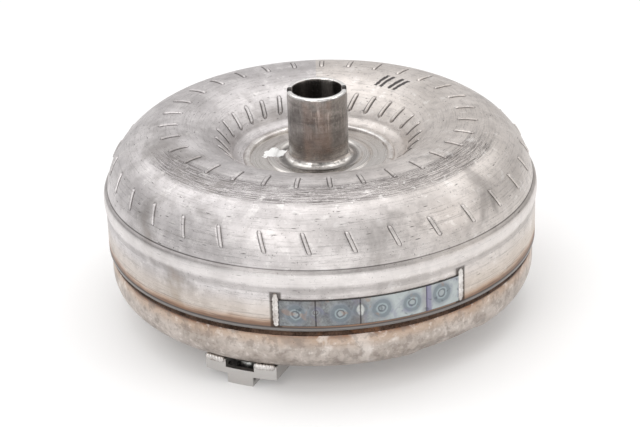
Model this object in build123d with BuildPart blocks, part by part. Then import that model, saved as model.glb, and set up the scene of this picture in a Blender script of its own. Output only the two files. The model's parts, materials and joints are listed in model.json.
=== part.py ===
from build123d import *
import math
import os

# Torque converter for an automatic gearbox: a welded housing with a pump hub, holding a turbine,
# a stator on a one-way clutch, two needle thrust bearings and a lock-up clutch with its damper.
# Millimetres. +Z runs along the axis towards the gearbox, z = 0 is the plane of the drive lug pads.

os.makedirs("parts", exist_ok=True)

# Driving dimensions -------------------------------------------------------------------------

# Housing
SKIRT_RADIUS = 151.2            # outside of the impeller shell's straight skirt
BEAD_RADIUS = 152.3             # outside of the rolled bead above the skirt
IMPELLER_SHEET = 3.2
SEAM_Z = 46.5                   # top edge of the front cover's full diameter
SKIRT_BOTTOM_Z = 51.0
SKIRT_TOP_Z = 79.0
BEAD_LOW_Z = 84.5
BEAD_HIGH_Z = 90.5
TORUS_START_Z = 94.5
COVER_RADIUS = 150.0
COVER_SHEET = 5.0
COVER_FACE_Z = 17.0             # underside of the flat of the front cover
COVER_CORNER_RADIUS = 17.0
SPIGOT_TOP_Z = 60.0
SPIGOT_RADIUS = 147.8

# Outside of the torus: two quarter arcs that meet at the crest, then a concave fillet to the floor
CREST_RADIUS = 101.0
OUTER_ARC = 49.0
OUTER_ARC_Z = 87.0
INNER_ARC = 47.0
MID_PLANE_Z = 89.0              # between impeller and turbine, and centre of the inner arc
INNER_ARC_END = 30.5            # degrees above the horizontal where the concave fillet starts
FLOOR_FILLET = 7.8
FLOOR_HOLE_RADIUS = 50.0

# Pump hub
HUB_RADIUS = 20.9
HUB_BORE_RADIUS = 17.5
HUB_TOP_Z = 159.0
HUB_FLANGE_TOP_Z = 108.0
HUB_FLANGE_BOTTOM_Z = 103.5
HUB_NOTCH_WIDTH = 7.0
HUB_NOTCH_DEPTH = 5.5
HUB_RIM_CHAMFER = 1.2
HUB_BORE_CHAMFER = 0.8
HUB_LAND_INNER = 30.5           # raised turned land on the hub's flange
HUB_LAND_OUTER = 36.2
HUB_LAND_HEIGHT = 1.0
HUB_LAND_BEVEL = 0.8
HUB_FOOT_RADIUS = 25.2          # where the fillet at the tube's foot starts
HUB_FOOT_HEIGHT = 5.0
HUB_WELD_INNER = 48.2
HUB_WELD_OUTER = 53.4
HUB_WELD_CROWN = 1.6

# Flow circuit inside the shells
CORE_RADIUS = 18.0
CORE_CENTRE_RADIUS = 110.4
CORE_SHEET = 1.2
BLADE_SHEET = 1.0
BLADE_EDGE_GAP = 1.5            # from the middle plane to the edges of the blades
THROAT_HALF_HEIGHT = 15.0       # from the middle plane to the inner blade edges, room for the stator
IMPELLER_BLADE_COUNT = 31
TURBINE_BLADE_COUNT = 29
STATOR_BLADE_COUNT = 23
TURBINE_SHEET = 1.6
TURBINE_OUTER_ARC = 45.4

# Embossed ridges over the blade tabs, on three rings of the impeller shell
RIDGE_LENGTH = 13.5
RIDGE_WIDTH = 2.4
RIDGE_HEIGHT = 0.9
RIDGE_ROOT = 1.5                # how far a ridge's solid reaches into the sheet

# Drive lugs on the front cover
LUG_COUNT = 3
LUG_ANGLE = -24.4               # first lug, from the front, towards +X
LUG_OUTER_RADIUS = 141.0
LUG_INNER_RADIUS = 106.0
LUG_WIDTH = 52.0
LUG_WING_Z = 7.0
LUG_BLOCK_WIDTH = 18.6
BOLT_CIRCLE_RADIUS = 125.0
BOLT_HOLE_RADIUS = 4.25         # minor radius of an M10 thread
NUT_COLLAR_RADIUS = 6.0
NUT_RADIUS = 6.6
NUT_FACE_Z = 0.3
NUT_TOP_Z = 12.5

# Crankshaft pilot
PILOT_RADIUS = 20.0
PILOT_SPIGOT_RADIUS = 15.0
PILOT_TIP_Z = 1.0
PILOT_CHAMFER = 1.5
PILOT_RELIEF = 0.4              # step in radius under the weld, at the end of the centring length
PILOT_RELIEF_Z = 13.7
PILOT_WELD_HEIGHT = 3.0
PILOT_WELD_WIDTH = 3.2
CENTRE_DIMPLE_RADIUS = 3.0
CENTRE_DIMPLE_DEPTH = 6.0

# Balance weight on the skirt
WEIGHT_SHEET = 1.0
WEIGHT_BOTTOM_Z = 55.0
WEIGHT_TOP_Z = 74.0
WEIGHT_START_ANGLE = -11.3
WEIGHT_SWEEP = 46.8

# Lock-up piston and damper
PISTON_Z = 24.5
PISTON_SHEET = 3.0
PISTON_RADIUS = 139.0
PISTON_CORNER = 5.0
LINING_THICKNESS = 1.2
TURBINE_BOSS_RADIUS = 24.0
SLIDING_CLEARANCE = 0.05
DRIVEN_PLATE_Z = 35.0
DRIVEN_PLATE_SHEET = 3.5
DRIVE_PLATE_SHEET = 2.5
DRIVE_PLATE_GAP = 0.5
DAMPER_RADIUS = 99.0
SPRING_COUNT = 6
SPRING_CIRCLE_RADIUS = 80.0
SPRING_RADIUS = 7.5
SPRING_WIRE_RADIUS = 1.6
SPRING_LENGTH = 40.0
STOP_PIN_CIRCLE_RADIUS = 93.5
STOP_PIN_RADIUS = 3.0
DAMPER_TRAVEL = 6.0             # degrees each way
TAB_WIDTH = 12.0
TAB_INNER_RADIUS = 101.5
TAB_OUTER_RADIUS = 103.5

# Stator and its one-way clutch
STATOR_BORE_RADIUS = 45.0
STATOR_HUB_RADIUS = 58.0
STATOR_RIM_INNER_RADIUS = 90.0
STATOR_RIM_OUTER_RADIUS = 93.0
CLUTCH_BOTTOM_Z = 78.0
CLUTCH_TOP_Z = 95.5
INNER_RACE_RADIUS = 27.0
ROLLER_COUNT = 10
ROLLER_RADIUS = 4.0
ROLLER_CIRCLE_RADIUS = 31.05
ROLLER_END_GAP = 0.4
STATOR_SPLINE_RADIUS = 16.5
INPUT_SPLINE_RADIUS = 12.5

# Needle thrust bearings
RACE_INNER_RADIUS = 28.0
RACE_OUTER_RADIUS = 42.0
RACE_SHEET = 1.0
NEEDLE_RADIUS = 1.2
NEEDLE_LENGTH = 8.0
NEEDLE_CIRCLE_RADIUS = 34.0
NEEDLE_COUNT = 20
TURBINE_RACE_Z = 68.4
IMPELLER_RACE_Z = 102.5
BEARING_CLEARANCE = 0.02

FRONT = -90.0                   # direction of -Y, from which the angles above are counted


# Shared shapes ------------------------------------------------------------------------------

def radial_plane(angle):
    """Vertical plane through the axis: local x is the radius, local y is the height."""
    turned = math.radians(angle)
    outwards = (math.cos(turned), math.sin(turned), 0)
    across = (math.sin(turned), -math.cos(turned), 0)
    return Plane(origin=(0, 0, 0), x_dir=outwards, z_dir=across)


def turn(*outline, start=0, sweep=360, mode=Mode.ADD):
    """Revolve a closed (radius, height) outline about the axis, into the active part."""
    with BuildSketch(radial_plane(start)) as section:
        with BuildLine():
            Polyline(*outline, close=True)
        make_face()
    revolve(section.sketch, axis=Axis.Z, revolution_arc=sweep, mode=mode)


def ring(inner, outer, bottom, top, mode=Mode.ADD):
    """Plain flat ring about the axis, into the active part."""
    turn((inner, bottom), (outer, bottom), (outer, top), (inner, top), mode=mode)


def pins(count, circle, radius, bottom, top, start=0.0, mode=Mode.ADD):
    """Evenly spaced upright cylinders on a circle about the axis, into the active part."""
    with BuildSketch(Plane.XY.offset(bottom)) as section:
        with PolarLocations(circle, count, start_angle=start):
            Circle(radius)
    extrude(section.sketch, amount=top - bottom, mode=mode)


def torus_line(inset):
    """Half section of the impeller shell's surface, moved inwards by inset: rim, crest, floor."""
    outer = OUTER_ARC - inset
    inner = INNER_ARC - inset
    rise = math.degrees(math.asin((TORUS_START_Z - OUTER_ARC_Z) / outer))
    rim = CenterArc((CREST_RADIUS, OUTER_ARC_Z), outer, rise, 90 - rise)
    well = CenterArc((CREST_RADIUS, MID_PLANE_Z), inner, 90, 90 - INNER_ARC_END)
    floor = JernArc(well @ 1, well % 1, FLOOR_FILLET + inset, INNER_ARC_END - 90)
    return rim @ 0, floor @ 1


def core_half(side):
    """Half of the core torus's sheet, above (side 1) or below (side -1) the middle plane."""
    with BuildSketch(Plane.XZ) as section:
        with Locations((CORE_CENTRE_RADIUS, MID_PLANE_Z)):
            Circle(CORE_RADIUS)
            Circle(CORE_RADIUS - CORE_SHEET, mode=Mode.SUBTRACT)
        with Locations((CORE_CENTRE_RADIUS, MID_PLANE_Z + side * (BLADE_EDGE_GAP - CORE_RADIUS))):
            Rectangle(3 * CORE_RADIUS, 2 * CORE_RADIUS, mode=Mode.SUBTRACT)
        with Locations((THROAT_OUTER_RADIUS - CORE_RADIUS, MID_PLANE_Z)):
            Rectangle(2 * CORE_RADIUS, 2 * THROAT_HALF_HEIGHT, mode=Mode.SUBTRACT)
    revolve(section.sketch, axis=Axis.Z)


def blade_set(count, plan, passage, bottom, top):
    """Curved sheet blades that follow a plan line and fill a passage solid, evenly spaced."""
    half = BLADE_SHEET / 2
    with BuildPart() as one_blade:
        with BuildSketch(Plane.XY.offset(bottom)):
            with BuildLine():
                left = Spline(*[plan_point(radius, angle, half) for radius, angle in plan])
                right = Spline(*[plan_point(radius, angle, -half) for radius, angle in plan])
                Line(left @ 0, right @ 0)
                Line(left @ 1, right @ 1)
            make_face()
        extrude(amount=top - bottom)
        add(passage, mode=Mode.INTERSECT)
    turns = [Rot(0, 0, FRONT + index * 360 / count) for index in range(count)]
    return Compound(children=[turned * one_blade.part for turned in turns])


def plan_point(radius, angle, side):
    """Point at a radius and an angle in degrees, moved sideways by a small distance."""
    turned = math.radians(angle) + side / radius
    return (radius * math.cos(turned), radius * math.sin(turned))


# Impeller shell, hub and their weld ---------------------------------------------------------

SHELL_WALL_RADIUS = SKIRT_RADIUS - IMPELLER_SHEET

# One ridge of each ring: the dome arc it sits on, its height angle on that arc, its direction
# from the front, and how far its lower end leans towards +X, in degrees.
RIDGE_RINGS = [
    (OUTER_ARC, OUTER_ARC_Z, 29.0, 7.3, 20.0),
    (OUTER_ARC, OUTER_ARC_Z, 86.5, 3.3, 0.0),
    (INNER_ARC, MID_PLANE_Z, 136.0, 6.4, 14.0),
]


def dome_plane(arc, arc_z, height_angle, direction, lean):
    """Plane on the dome's surface, facing outwards, with local x down the slope and turned by lean."""
    slope = math.radians(height_angle)
    turned = math.radians(direction)
    radius = CREST_RADIUS + arc * math.cos(slope)
    outwards = Vector(math.cos(slope) * math.cos(turned), math.cos(slope) * math.sin(turned), math.sin(slope))
    downhill = Vector(
        math.sin(slope) * math.cos(turned), math.sin(slope) * math.sin(turned), -math.cos(slope)
    )
    if height_angle > 90:
        downhill = -downhill
        lean = -lean
    origin = (radius * math.cos(turned), radius * math.sin(turned), arc_z + arc * math.sin(slope))
    return Plane(origin=origin, x_dir=downhill, z_dir=outwards).rotated((0, 0, lean))


with BuildPart() as impeller_shell:
    with BuildSketch(Plane.XZ):
        with BuildLine():
            outer_rim, outer_floor = torus_line(0)
            inner_rim, inner_floor = torus_line(IMPELLER_SHEET)
            Polyline(
                outer_rim,
                (BEAD_RADIUS - 0.3, BEAD_HIGH_Z + 1.5),
                (BEAD_RADIUS, BEAD_HIGH_Z),
                (BEAD_RADIUS, BEAD_LOW_Z),
                (SKIRT_RADIUS, SKIRT_TOP_Z),
                (SKIRT_RADIUS, SKIRT_BOTTOM_Z),
                (SHELL_WALL_RADIUS, SKIRT_BOTTOM_Z),
                (SHELL_WALL_RADIUS, BEAD_HIGH_Z - 2),
                inner_rim,
            )
            Polyline(
                outer_floor,
                (FLOOR_HOLE_RADIUS, outer_floor.Y),
                (FLOOR_HOLE_RADIUS, inner_floor.Y),
                inner_floor,
            )
        make_face()
    revolve(axis=Axis.Z)
    ridge_planes = [
        dome_plane(arc, arc_z, height_angle, FRONT + direction + index * 360 / IMPELLER_BLADE_COUNT, lean)
        for arc, arc_z, height_angle, direction, lean in RIDGE_RINGS
        for index in range(IMPELLER_BLADE_COUNT)
    ]
    with BuildSketch(*[plane.offset(-RIDGE_ROOT) for plane in ridge_planes]):
        SlotOverall(RIDGE_LENGTH, RIDGE_WIDTH)
    extrude(amount=RIDGE_ROOT + RIDGE_HEIGHT)
impeller_shell.part.label = "impeller_shell"
export_step(impeller_shell.part, "parts/impeller_shell.step")

FLOOR_Z = outer_floor.Y

with BuildPart() as impeller_hub:
    turn(
        (HUB_BORE_RADIUS, HUB_FLANGE_BOTTOM_Z),
        (FLOOR_HOLE_RADIUS, HUB_FLANGE_BOTTOM_Z),
        (FLOOR_HOLE_RADIUS, HUB_FLANGE_TOP_Z),
        (HUB_LAND_OUTER + HUB_LAND_BEVEL, HUB_FLANGE_TOP_Z),
        (HUB_LAND_OUTER, HUB_FLANGE_TOP_Z + HUB_LAND_HEIGHT),
        (HUB_LAND_INNER, HUB_FLANGE_TOP_Z + HUB_LAND_HEIGHT),
        (HUB_LAND_INNER - 0.7, HUB_FLANGE_TOP_Z + 0.3),
        (HUB_FOOT_RADIUS, HUB_FLANGE_TOP_Z + 0.3),
        (HUB_FOOT_RADIUS - 0.6, HUB_FLANGE_TOP_Z + 0.9),
        (HUB_FOOT_RADIUS - 3.0, HUB_FLANGE_TOP_Z + 2.2),
        (HUB_RADIUS, HUB_FLANGE_TOP_Z + HUB_FOOT_HEIGHT),
        (HUB_RADIUS, HUB_TOP_Z - HUB_RIM_CHAMFER),
        (HUB_RADIUS - HUB_RIM_CHAMFER, HUB_TOP_Z),
        (HUB_BORE_RADIUS + HUB_BORE_CHAMFER, HUB_TOP_Z),
        (HUB_BORE_RADIUS, HUB_TOP_Z - HUB_BORE_CHAMFER),
    )
    with BuildSketch(Plane.XY.offset(HUB_TOP_Z)):
        Rectangle(2 * BEAD_RADIUS, HUB_NOTCH_WIDTH)
    extrude(amount=-HUB_NOTCH_DEPTH, mode=Mode.SUBTRACT)
impeller_hub.part.label = "impeller_hub"
export_step(impeller_hub.part, "parts/impeller_hub.step")

with BuildPart() as hub_weld:
    with BuildSketch(Plane.XZ):
        with BuildLine():
            Polyline(
                (HUB_WELD_INNER, HUB_FLANGE_TOP_Z),
                (FLOOR_HOLE_RADIUS, HUB_FLANGE_TOP_Z),
                (FLOOR_HOLE_RADIUS, FLOOR_Z),
                (HUB_WELD_OUTER, FLOOR_Z),
            )
            ThreePointArc(
                (HUB_WELD_OUTER, FLOOR_Z),
                (FLOOR_HOLE_RADIUS + 1.2, FLOOR_Z + HUB_WELD_CROWN),
                (HUB_WELD_INNER, HUB_FLANGE_TOP_Z),
            )
        make_face()
    revolve(axis=Axis.Z)
hub_weld.part.label = "hub_weld"
export_step(hub_weld.part, "parts/hub_weld.step")

# Impeller blades and core ring --------------------------------------------------------------

IMPELLER_EDGE_Z = MID_PLANE_Z + BLADE_EDGE_GAP
IMPELLER_THROAT_Z = MID_PLANE_Z + THROAT_HALF_HEIGHT
FIT_GAP = 0.05
THROAT_OUTER_RADIUS = CORE_CENTRE_RADIUS - math.sqrt(CORE_RADIUS ** 2 - THROAT_HALF_HEIGHT ** 2)

with BuildPart() as impeller_passage:
    with BuildSketch(Plane.XZ):
        with BuildLine():
            rim_end, floor_end = torus_line(IMPELLER_SHEET + FIT_GAP)
            Polyline(
                floor_end,
                (floor_end.X, IMPELLER_THROAT_Z),
                (THROAT_OUTER_RADIUS, IMPELLER_THROAT_Z),
                (THROAT_OUTER_RADIUS, IMPELLER_EDGE_Z),
                (rim_end.X, IMPELLER_EDGE_Z),
                rim_end,
            )
        make_face()
        with Locations((CORE_CENTRE_RADIUS, MID_PLANE_Z)):
            Circle(CORE_RADIUS + FIT_GAP, mode=Mode.SUBTRACT)
    revolve(axis=Axis.Z)

# The blades' plan line, as (radius, angle), with the curl that the ridges outside follow.
IMPELLER_PLAN = [(50, 13.4), (64, 7.7), (72, 5.2), (104, 3.3), (141, 6.3), (148, 9.1)]

impeller_blades = blade_set(
    IMPELLER_BLADE_COUNT, IMPELLER_PLAN, impeller_passage.part, IMPELLER_EDGE_Z, MID_PLANE_Z + INNER_ARC
)
impeller_blades.label = "impeller_blades"
export_step(impeller_blades, "parts/impeller_blades.step")

with BuildPart() as impeller_core_ring:
    core_half(1)
impeller_core_ring.part.label = "impeller_core_ring"
export_step(impeller_core_ring.part, "parts/impeller_core_ring.step")

# Front cover, closure weld and crankshaft pilot ---------------------------------------------

CORNER_CENTRE = (COVER_RADIUS - 0.4 - COVER_CORNER_RADIUS, COVER_FACE_Z + COVER_CORNER_RADIUS)
COVER_TOP_FACE_Z = COVER_FACE_Z + COVER_SHEET

with BuildPart() as front_cover:
    with BuildSketch(Plane.XZ):
        with BuildLine():
            corner = CenterArc(CORNER_CENTRE, COVER_CORNER_RADIUS, 0, -90)
            inside = CenterArc(CORNER_CENTRE, COVER_CORNER_RADIUS - COVER_SHEET, 0, -90)
            Polyline(
                corner @ 0,
                (COVER_RADIUS, SEAM_Z - 1),
                (COVER_RADIUS - 0.6, SEAM_Z),
                (SPIGOT_RADIUS, SEAM_Z),
                (SPIGOT_RADIUS, SPIGOT_TOP_Z),
                (SPIGOT_RADIUS - 3, SPIGOT_TOP_Z),
                inside @ 0,
            )
            Polyline(
                corner @ 1,
                (PILOT_SPIGOT_RADIUS, COVER_FACE_Z),
                (PILOT_SPIGOT_RADIUS, COVER_TOP_FACE_Z),
                inside @ 1,
            )
        make_face()
    revolve(axis=Axis.Z)
front_cover.part.label = "front_cover"
export_step(front_cover.part, "parts/front_cover.step")

with BuildPart() as closure_weld:
    with BuildSketch(Plane.XZ):
        with BuildLine():
            Polyline(
                (COVER_RADIUS - 0.7, SEAM_Z),
                (SPIGOT_RADIUS, SEAM_Z),
                (SPIGOT_RADIUS, SKIRT_BOTTOM_Z),
                (COVER_RADIUS - 0.3, SKIRT_BOTTOM_Z),
            )
            ThreePointArc(
                (COVER_RADIUS - 0.3, SKIRT_BOTTOM_Z),
                (COVER_RADIUS - 0.1, (SEAM_Z + SKIRT_BOTTOM_Z) / 2),
                (COVER_RADIUS - 0.7, SEAM_Z),
            )
        make_face()
    revolve(axis=Axis.Z)
closure_weld.part.label = "closure_weld"
export_step(closure_weld.part, "parts/closure_weld.step")

with BuildPart() as crankshaft_pilot:
    turn(
        (0, PILOT_TIP_Z),
        (PILOT_RADIUS - PILOT_CHAMFER, PILOT_TIP_Z),
        (PILOT_RADIUS, PILOT_TIP_Z + PILOT_CHAMFER),
        (PILOT_RADIUS, PILOT_RELIEF_Z),
        (PILOT_RADIUS - PILOT_RELIEF, PILOT_RELIEF_Z),
        (PILOT_RADIUS - PILOT_RELIEF, COVER_FACE_Z),
        (PILOT_SPIGOT_RADIUS, COVER_FACE_Z),
        (PILOT_SPIGOT_RADIUS, COVER_TOP_FACE_Z),
        (0, COVER_TOP_FACE_Z),
    )
    with BuildSketch(Plane.XY.offset(PILOT_TIP_Z)):
        Circle(CENTRE_DIMPLE_RADIUS)
    extrude(amount=CENTRE_DIMPLE_DEPTH, taper=-20, mode=Mode.SUBTRACT)
crankshaft_pilot.part.label = "crankshaft_pilot"
export_step(crankshaft_pilot.part, "parts/crankshaft_pilot.step")

with BuildPart() as pilot_weld:
    turn(
        (PILOT_RADIUS - PILOT_RELIEF, COVER_FACE_Z - PILOT_WELD_HEIGHT),
        (PILOT_RADIUS + PILOT_WELD_WIDTH, COVER_FACE_Z),
        (PILOT_RADIUS - PILOT_RELIEF, COVER_FACE_Z),
    )
pilot_weld.part.label = "pilot_weld"
export_step(pilot_weld.part, "parts/pilot_weld.step")

# Drive lugs, their weld nuts and welds ------------------------------------------------------

LUG_BLOCK_INNER = 112.0
LUG_FLOOR = 3.5
POCKET_WIDTH = 13.6
WINDOW_WIDTH = 20.8
FRONT_WALL = 4.0
FRONT_WALL_Z = 11.5
WINDOW_FLOOR_Z = 9.0
LUG_TOP_CHAMFER = 3.0

for index in range(LUG_COUNT):
    angle = FRONT + LUG_ANGLE + index * 360 / LUG_COUNT
    lug_plane = Plane.XY.rotated((0, 0, angle))
    with BuildPart() as drive_lug:
        with BuildSketch(lug_plane.offset(LUG_WING_Z)) as wing_outline:
            with Locations(((LUG_INNER_RADIUS + LUG_OUTER_RADIUS) / 2 + 5, 0)):
                RectangleRounded(LUG_OUTER_RADIUS - LUG_INNER_RADIUS + 10, LUG_WIDTH, 4)
            Circle(LUG_OUTER_RADIUS, mode=Mode.INTERSECT)
        extrude(amount=COVER_FACE_Z - LUG_WING_Z)
        with BuildSketch(lug_plane):
            with Locations(((LUG_BLOCK_INNER + LUG_OUTER_RADIUS) / 2, 0)):
                RectangleRounded(LUG_OUTER_RADIUS - LUG_BLOCK_INNER, LUG_BLOCK_WIDTH, 3)
            Circle(LUG_OUTER_RADIUS, mode=Mode.INTERSECT)
        extrude(amount=LUG_WING_Z)
        with BuildSketch(lug_plane.offset(WINDOW_FLOOR_Z)):
            with Locations(((LUG_BLOCK_INNER + LUG_OUTER_RADIUS - FRONT_WALL) / 2, 0)):
                Rectangle(LUG_OUTER_RADIUS - FRONT_WALL - LUG_BLOCK_INNER, WINDOW_WIDTH)
        extrude(amount=COVER_FACE_Z - WINDOW_FLOOR_Z, mode=Mode.SUBTRACT)
        with BuildSketch(lug_plane.offset(FRONT_WALL_Z)):
            with Locations((LUG_OUTER_RADIUS - 1, 0)):
                Rectangle(2 * FRONT_WALL + 2, WINDOW_WIDTH)
        extrude(amount=COVER_FACE_Z - FRONT_WALL_Z, mode=Mode.SUBTRACT)
        with BuildSketch(lug_plane.offset(LUG_FLOOR)):
            with Locations((BOLT_CIRCLE_RADIUS, 0)):
                Rectangle(2 * (LUG_OUTER_RADIUS - FRONT_WALL - BOLT_CIRCLE_RADIUS) - 4, POCKET_WIDTH)
        extrude(amount=WINDOW_FLOOR_Z - LUG_FLOOR, mode=Mode.SUBTRACT)
        with BuildSketch(lug_plane):
            with Locations((BOLT_CIRCLE_RADIUS, 0)):
                Circle(NUT_COLLAR_RADIUS)
        extrude(amount=LUG_FLOOR, mode=Mode.SUBTRACT)
        turn(
            (LUG_OUTER_RADIUS - LUG_TOP_CHAMFER, COVER_FACE_Z),
            (LUG_OUTER_RADIUS + 1, COVER_FACE_Z),
            (LUG_OUTER_RADIUS + 1, COVER_FACE_Z - LUG_TOP_CHAMFER - 1),
            start=angle - 20,
            sweep=40,
            mode=Mode.SUBTRACT,
        )
    drive_lug.part.label = f"drive_lug_{index + 1}"
    export_step(drive_lug.part, f"parts/drive_lug_{index + 1}.step")

with BuildPart() as lug_nuts:
    nut_start = FRONT + LUG_ANGLE
    pins(LUG_COUNT, BOLT_CIRCLE_RADIUS, NUT_COLLAR_RADIUS, NUT_FACE_Z, LUG_FLOOR, start=nut_start)
    pins(LUG_COUNT, BOLT_CIRCLE_RADIUS, NUT_RADIUS, LUG_FLOOR, NUT_TOP_Z, start=nut_start)
    pins(LUG_COUNT, BOLT_CIRCLE_RADIUS, BOLT_HOLE_RADIUS, NUT_FACE_Z, NUT_TOP_Z, start=nut_start,
         mode=Mode.SUBTRACT)
lug_nuts.part.label = "lug_nuts"
export_step(lug_nuts.part, "parts/lug_nuts.step")

# Fillet of weld over a lug's outer edge and up the cover's corner, as (radius, height).
LUG_WELD_SECTION = [
    (135.0, COVER_FACE_Z + 0.03),
    (LUG_OUTER_RADIUS - LUG_TOP_CHAMFER + 0.03, COVER_FACE_Z + 0.03),
    (LUG_OUTER_RADIUS + 0.1, COVER_FACE_Z - LUG_TOP_CHAMFER + 0.1),
    (142.6, 15.2),
    (143.2, 18.0),
    (142.2, 19.7),
    (140.2, 18.65),
    (138.0, 17.75),
    (136.0, 17.25),
]

LUG_WELD_SWEEP = 5.8
LUG_WELD_GAP = 4.5              # degrees from a lug's middle to its welds

with BuildPart() as lug_welds:
    for index in range(LUG_COUNT):
        lug_middle = FRONT + LUG_ANGLE + index * 360 / LUG_COUNT
        for weld_start in (-LUG_WELD_GAP - LUG_WELD_SWEEP, LUG_WELD_GAP):
            turn(*LUG_WELD_SECTION, start=lug_middle + weld_start, sweep=LUG_WELD_SWEEP)
lug_welds.part.label = "lug_welds"
export_step(lug_welds.part, "parts/lug_welds.step")

# Balance weight on the skirt, and the two beads that close its ends -------------------------

with BuildPart() as balance_weight:
    turn(
        (SKIRT_RADIUS, WEIGHT_BOTTOM_Z),
        (SKIRT_RADIUS + WEIGHT_SHEET, WEIGHT_BOTTOM_Z),
        (SKIRT_RADIUS + WEIGHT_SHEET, WEIGHT_TOP_Z),
        (SKIRT_RADIUS, WEIGHT_TOP_Z),
        start=FRONT + WEIGHT_START_ANGLE,
        sweep=WEIGHT_SWEEP,
    )
balance_weight.part.label = "balance_weight"
export_step(balance_weight.part, "parts/balance_weight.step")

WEIGHT_BEAD_SWEEP = 1.7
WEIGHT_BEAD_HEIGHT = 1.4

with BuildPart() as balance_weight_welds:
    for bead_start in (WEIGHT_START_ANGLE - WEIGHT_BEAD_SWEEP, WEIGHT_START_ANGLE + WEIGHT_SWEEP):
        turn(
            (SKIRT_RADIUS, WEIGHT_BOTTOM_Z - 1),
            (SKIRT_RADIUS + WEIGHT_BEAD_HEIGHT, WEIGHT_BOTTOM_Z),
            (SKIRT_RADIUS + WEIGHT_BEAD_HEIGHT, SKIRT_TOP_Z - 1.5),
            (SKIRT_RADIUS, SKIRT_TOP_Z - 0.5),
            start=FRONT + bead_start,
            sweep=WEIGHT_BEAD_SWEEP,
        )
balance_weight_welds.part.label = "balance_weight_welds"
export_step(balance_weight_welds.part, "parts/balance_weight_welds.step")

# Turbine: shell, blades, core ring, hub and rivets ------------------------------------------

TURBINE_FLANGE_Z = TURBINE_RACE_Z
TURBINE_FLANGE_BOTTOM_Z = 64.0
TURBINE_EDGE_Z = MID_PLANE_Z - BLADE_EDGE_GAP
TURBINE_THROAT_Z = MID_PLANE_Z - THROAT_HALF_HEIGHT
TURBINE_INNER_ARC = TURBINE_OUTER_ARC - TURBINE_SHEET
SHELL_SEAT_RADIUS = 46.0
SHELL_SEAT_OUTER = 66.0
THROAT_CUT = 50.0               # side of the square that opens the shell's throat
RIVET_CIRCLE_RADIUS = 51.0
RIVET_RADIUS = 2.5
RIVET_COUNT = 12

with BuildPart() as turbine_shell:
    with BuildSketch(Plane.XZ):
        with Locations((CREST_RADIUS, MID_PLANE_Z)):
            Circle(TURBINE_OUTER_ARC)
        with Locations((CREST_RADIUS, MID_PLANE_Z + BEAD_RADIUS - BLADE_EDGE_GAP)):
            Rectangle(2 * BEAD_RADIUS, 2 * BEAD_RADIUS, mode=Mode.SUBTRACT)
        with Locations((CREST_RADIUS - THROAT_CUT, TURBINE_FLANGE_Z + THROAT_CUT / 2)):
            Rectangle(THROAT_CUT, THROAT_CUT, mode=Mode.SUBTRACT)
        with Locations(((SHELL_SEAT_RADIUS + SHELL_SEAT_OUTER) / 2, TURBINE_FLANGE_Z + TURBINE_SHEET / 2)):
            Rectangle(SHELL_SEAT_OUTER - SHELL_SEAT_RADIUS, TURBINE_SHEET)
        with Locations((CREST_RADIUS, MID_PLANE_Z)):
            Circle(TURBINE_INNER_ARC, mode=Mode.SUBTRACT)
    revolve(axis=Axis.Z)
    pins(RIVET_COUNT, RIVET_CIRCLE_RADIUS, RIVET_RADIUS, TURBINE_FLANGE_Z, TURBINE_FLANGE_Z + TURBINE_SHEET,
         mode=Mode.SUBTRACT)
turbine_shell.part.label = "turbine_shell"
export_step(turbine_shell.part, "parts/turbine_shell.step")

with BuildPart() as turbine_passage:
    with BuildSketch(Plane.XZ):
        with Locations((CREST_RADIUS, MID_PLANE_Z)):
            Circle(TURBINE_INNER_ARC - FIT_GAP)
        with Locations((CREST_RADIUS, MID_PLANE_Z + BEAD_RADIUS - BLADE_EDGE_GAP)):
            Rectangle(2 * BEAD_RADIUS, 2 * BEAD_RADIUS, mode=Mode.SUBTRACT)
        with Locations((THROAT_OUTER_RADIUS - THROAT_CUT, TURBINE_THROAT_Z + THROAT_CUT / 2)):
            Rectangle(2 * THROAT_CUT, THROAT_CUT, mode=Mode.SUBTRACT)
        with Locations((CORE_CENTRE_RADIUS, MID_PLANE_Z)):
            Circle(CORE_RADIUS + FIT_GAP, mode=Mode.SUBTRACT)
    revolve(axis=Axis.Z)

# The turbine's blades curl the other way and more strongly.
TURBINE_PLAN = [(50, -16.0), (64, -9.0), (80, -3.5), (104, 0.0), (130, -2.5), (148, -8.0)]

turbine_blades = blade_set(
    TURBINE_BLADE_COUNT, TURBINE_PLAN, turbine_passage.part, MID_PLANE_Z - TURBINE_OUTER_ARC, TURBINE_EDGE_Z
)
turbine_blades.label = "turbine_blades"
export_step(turbine_blades, "parts/turbine_blades.step")

with BuildPart() as turbine_core_ring:
    core_half(-1)
turbine_core_ring.part.label = "turbine_core_ring"
export_step(turbine_core_ring.part, "parts/turbine_core_ring.step")

HUB_SHOULDER_RADIUS = 30.0
HUB_PLATE_FLANGE_RADIUS = 45.0
HUB_PLATE_FLANGE_TOP_Z = 43.0
HUB_BOSS_BOTTOM_Z = 24.3
DRIVEN_PLATE_TOP_Z = DRIVEN_PLATE_Z + DRIVEN_PLATE_SHEET
SEAL_GROOVE_Z = 30.0
SEAL_HEIGHT = 2.0
SEAL_DEPTH = 2.0
INPUT_SPLINE_COUNT = 24
INPUT_SPLINE_TOOTH = 1.6
PLATE_RIVET_CIRCLE_RADIUS = 39.5
PLATE_RIVET_COUNT = 8
PLATE_RIVET_UPSET = 2.5         # how far the rivets stand above the hub's plate flange
HUB_SHOULDER_Z = 32.8
HUB_NECK_RADIUS = 28.0
HUB_NECK_FLARE = 4.0
HUB_SHELL_FLANGE_RADIUS = 56.0
HUB_SPIGOT_HEIGHT = 1.6
RIVET_HEAD_OVERHANG = 1.5
RIVET_HEAD_HEIGHT = 1.4

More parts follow.
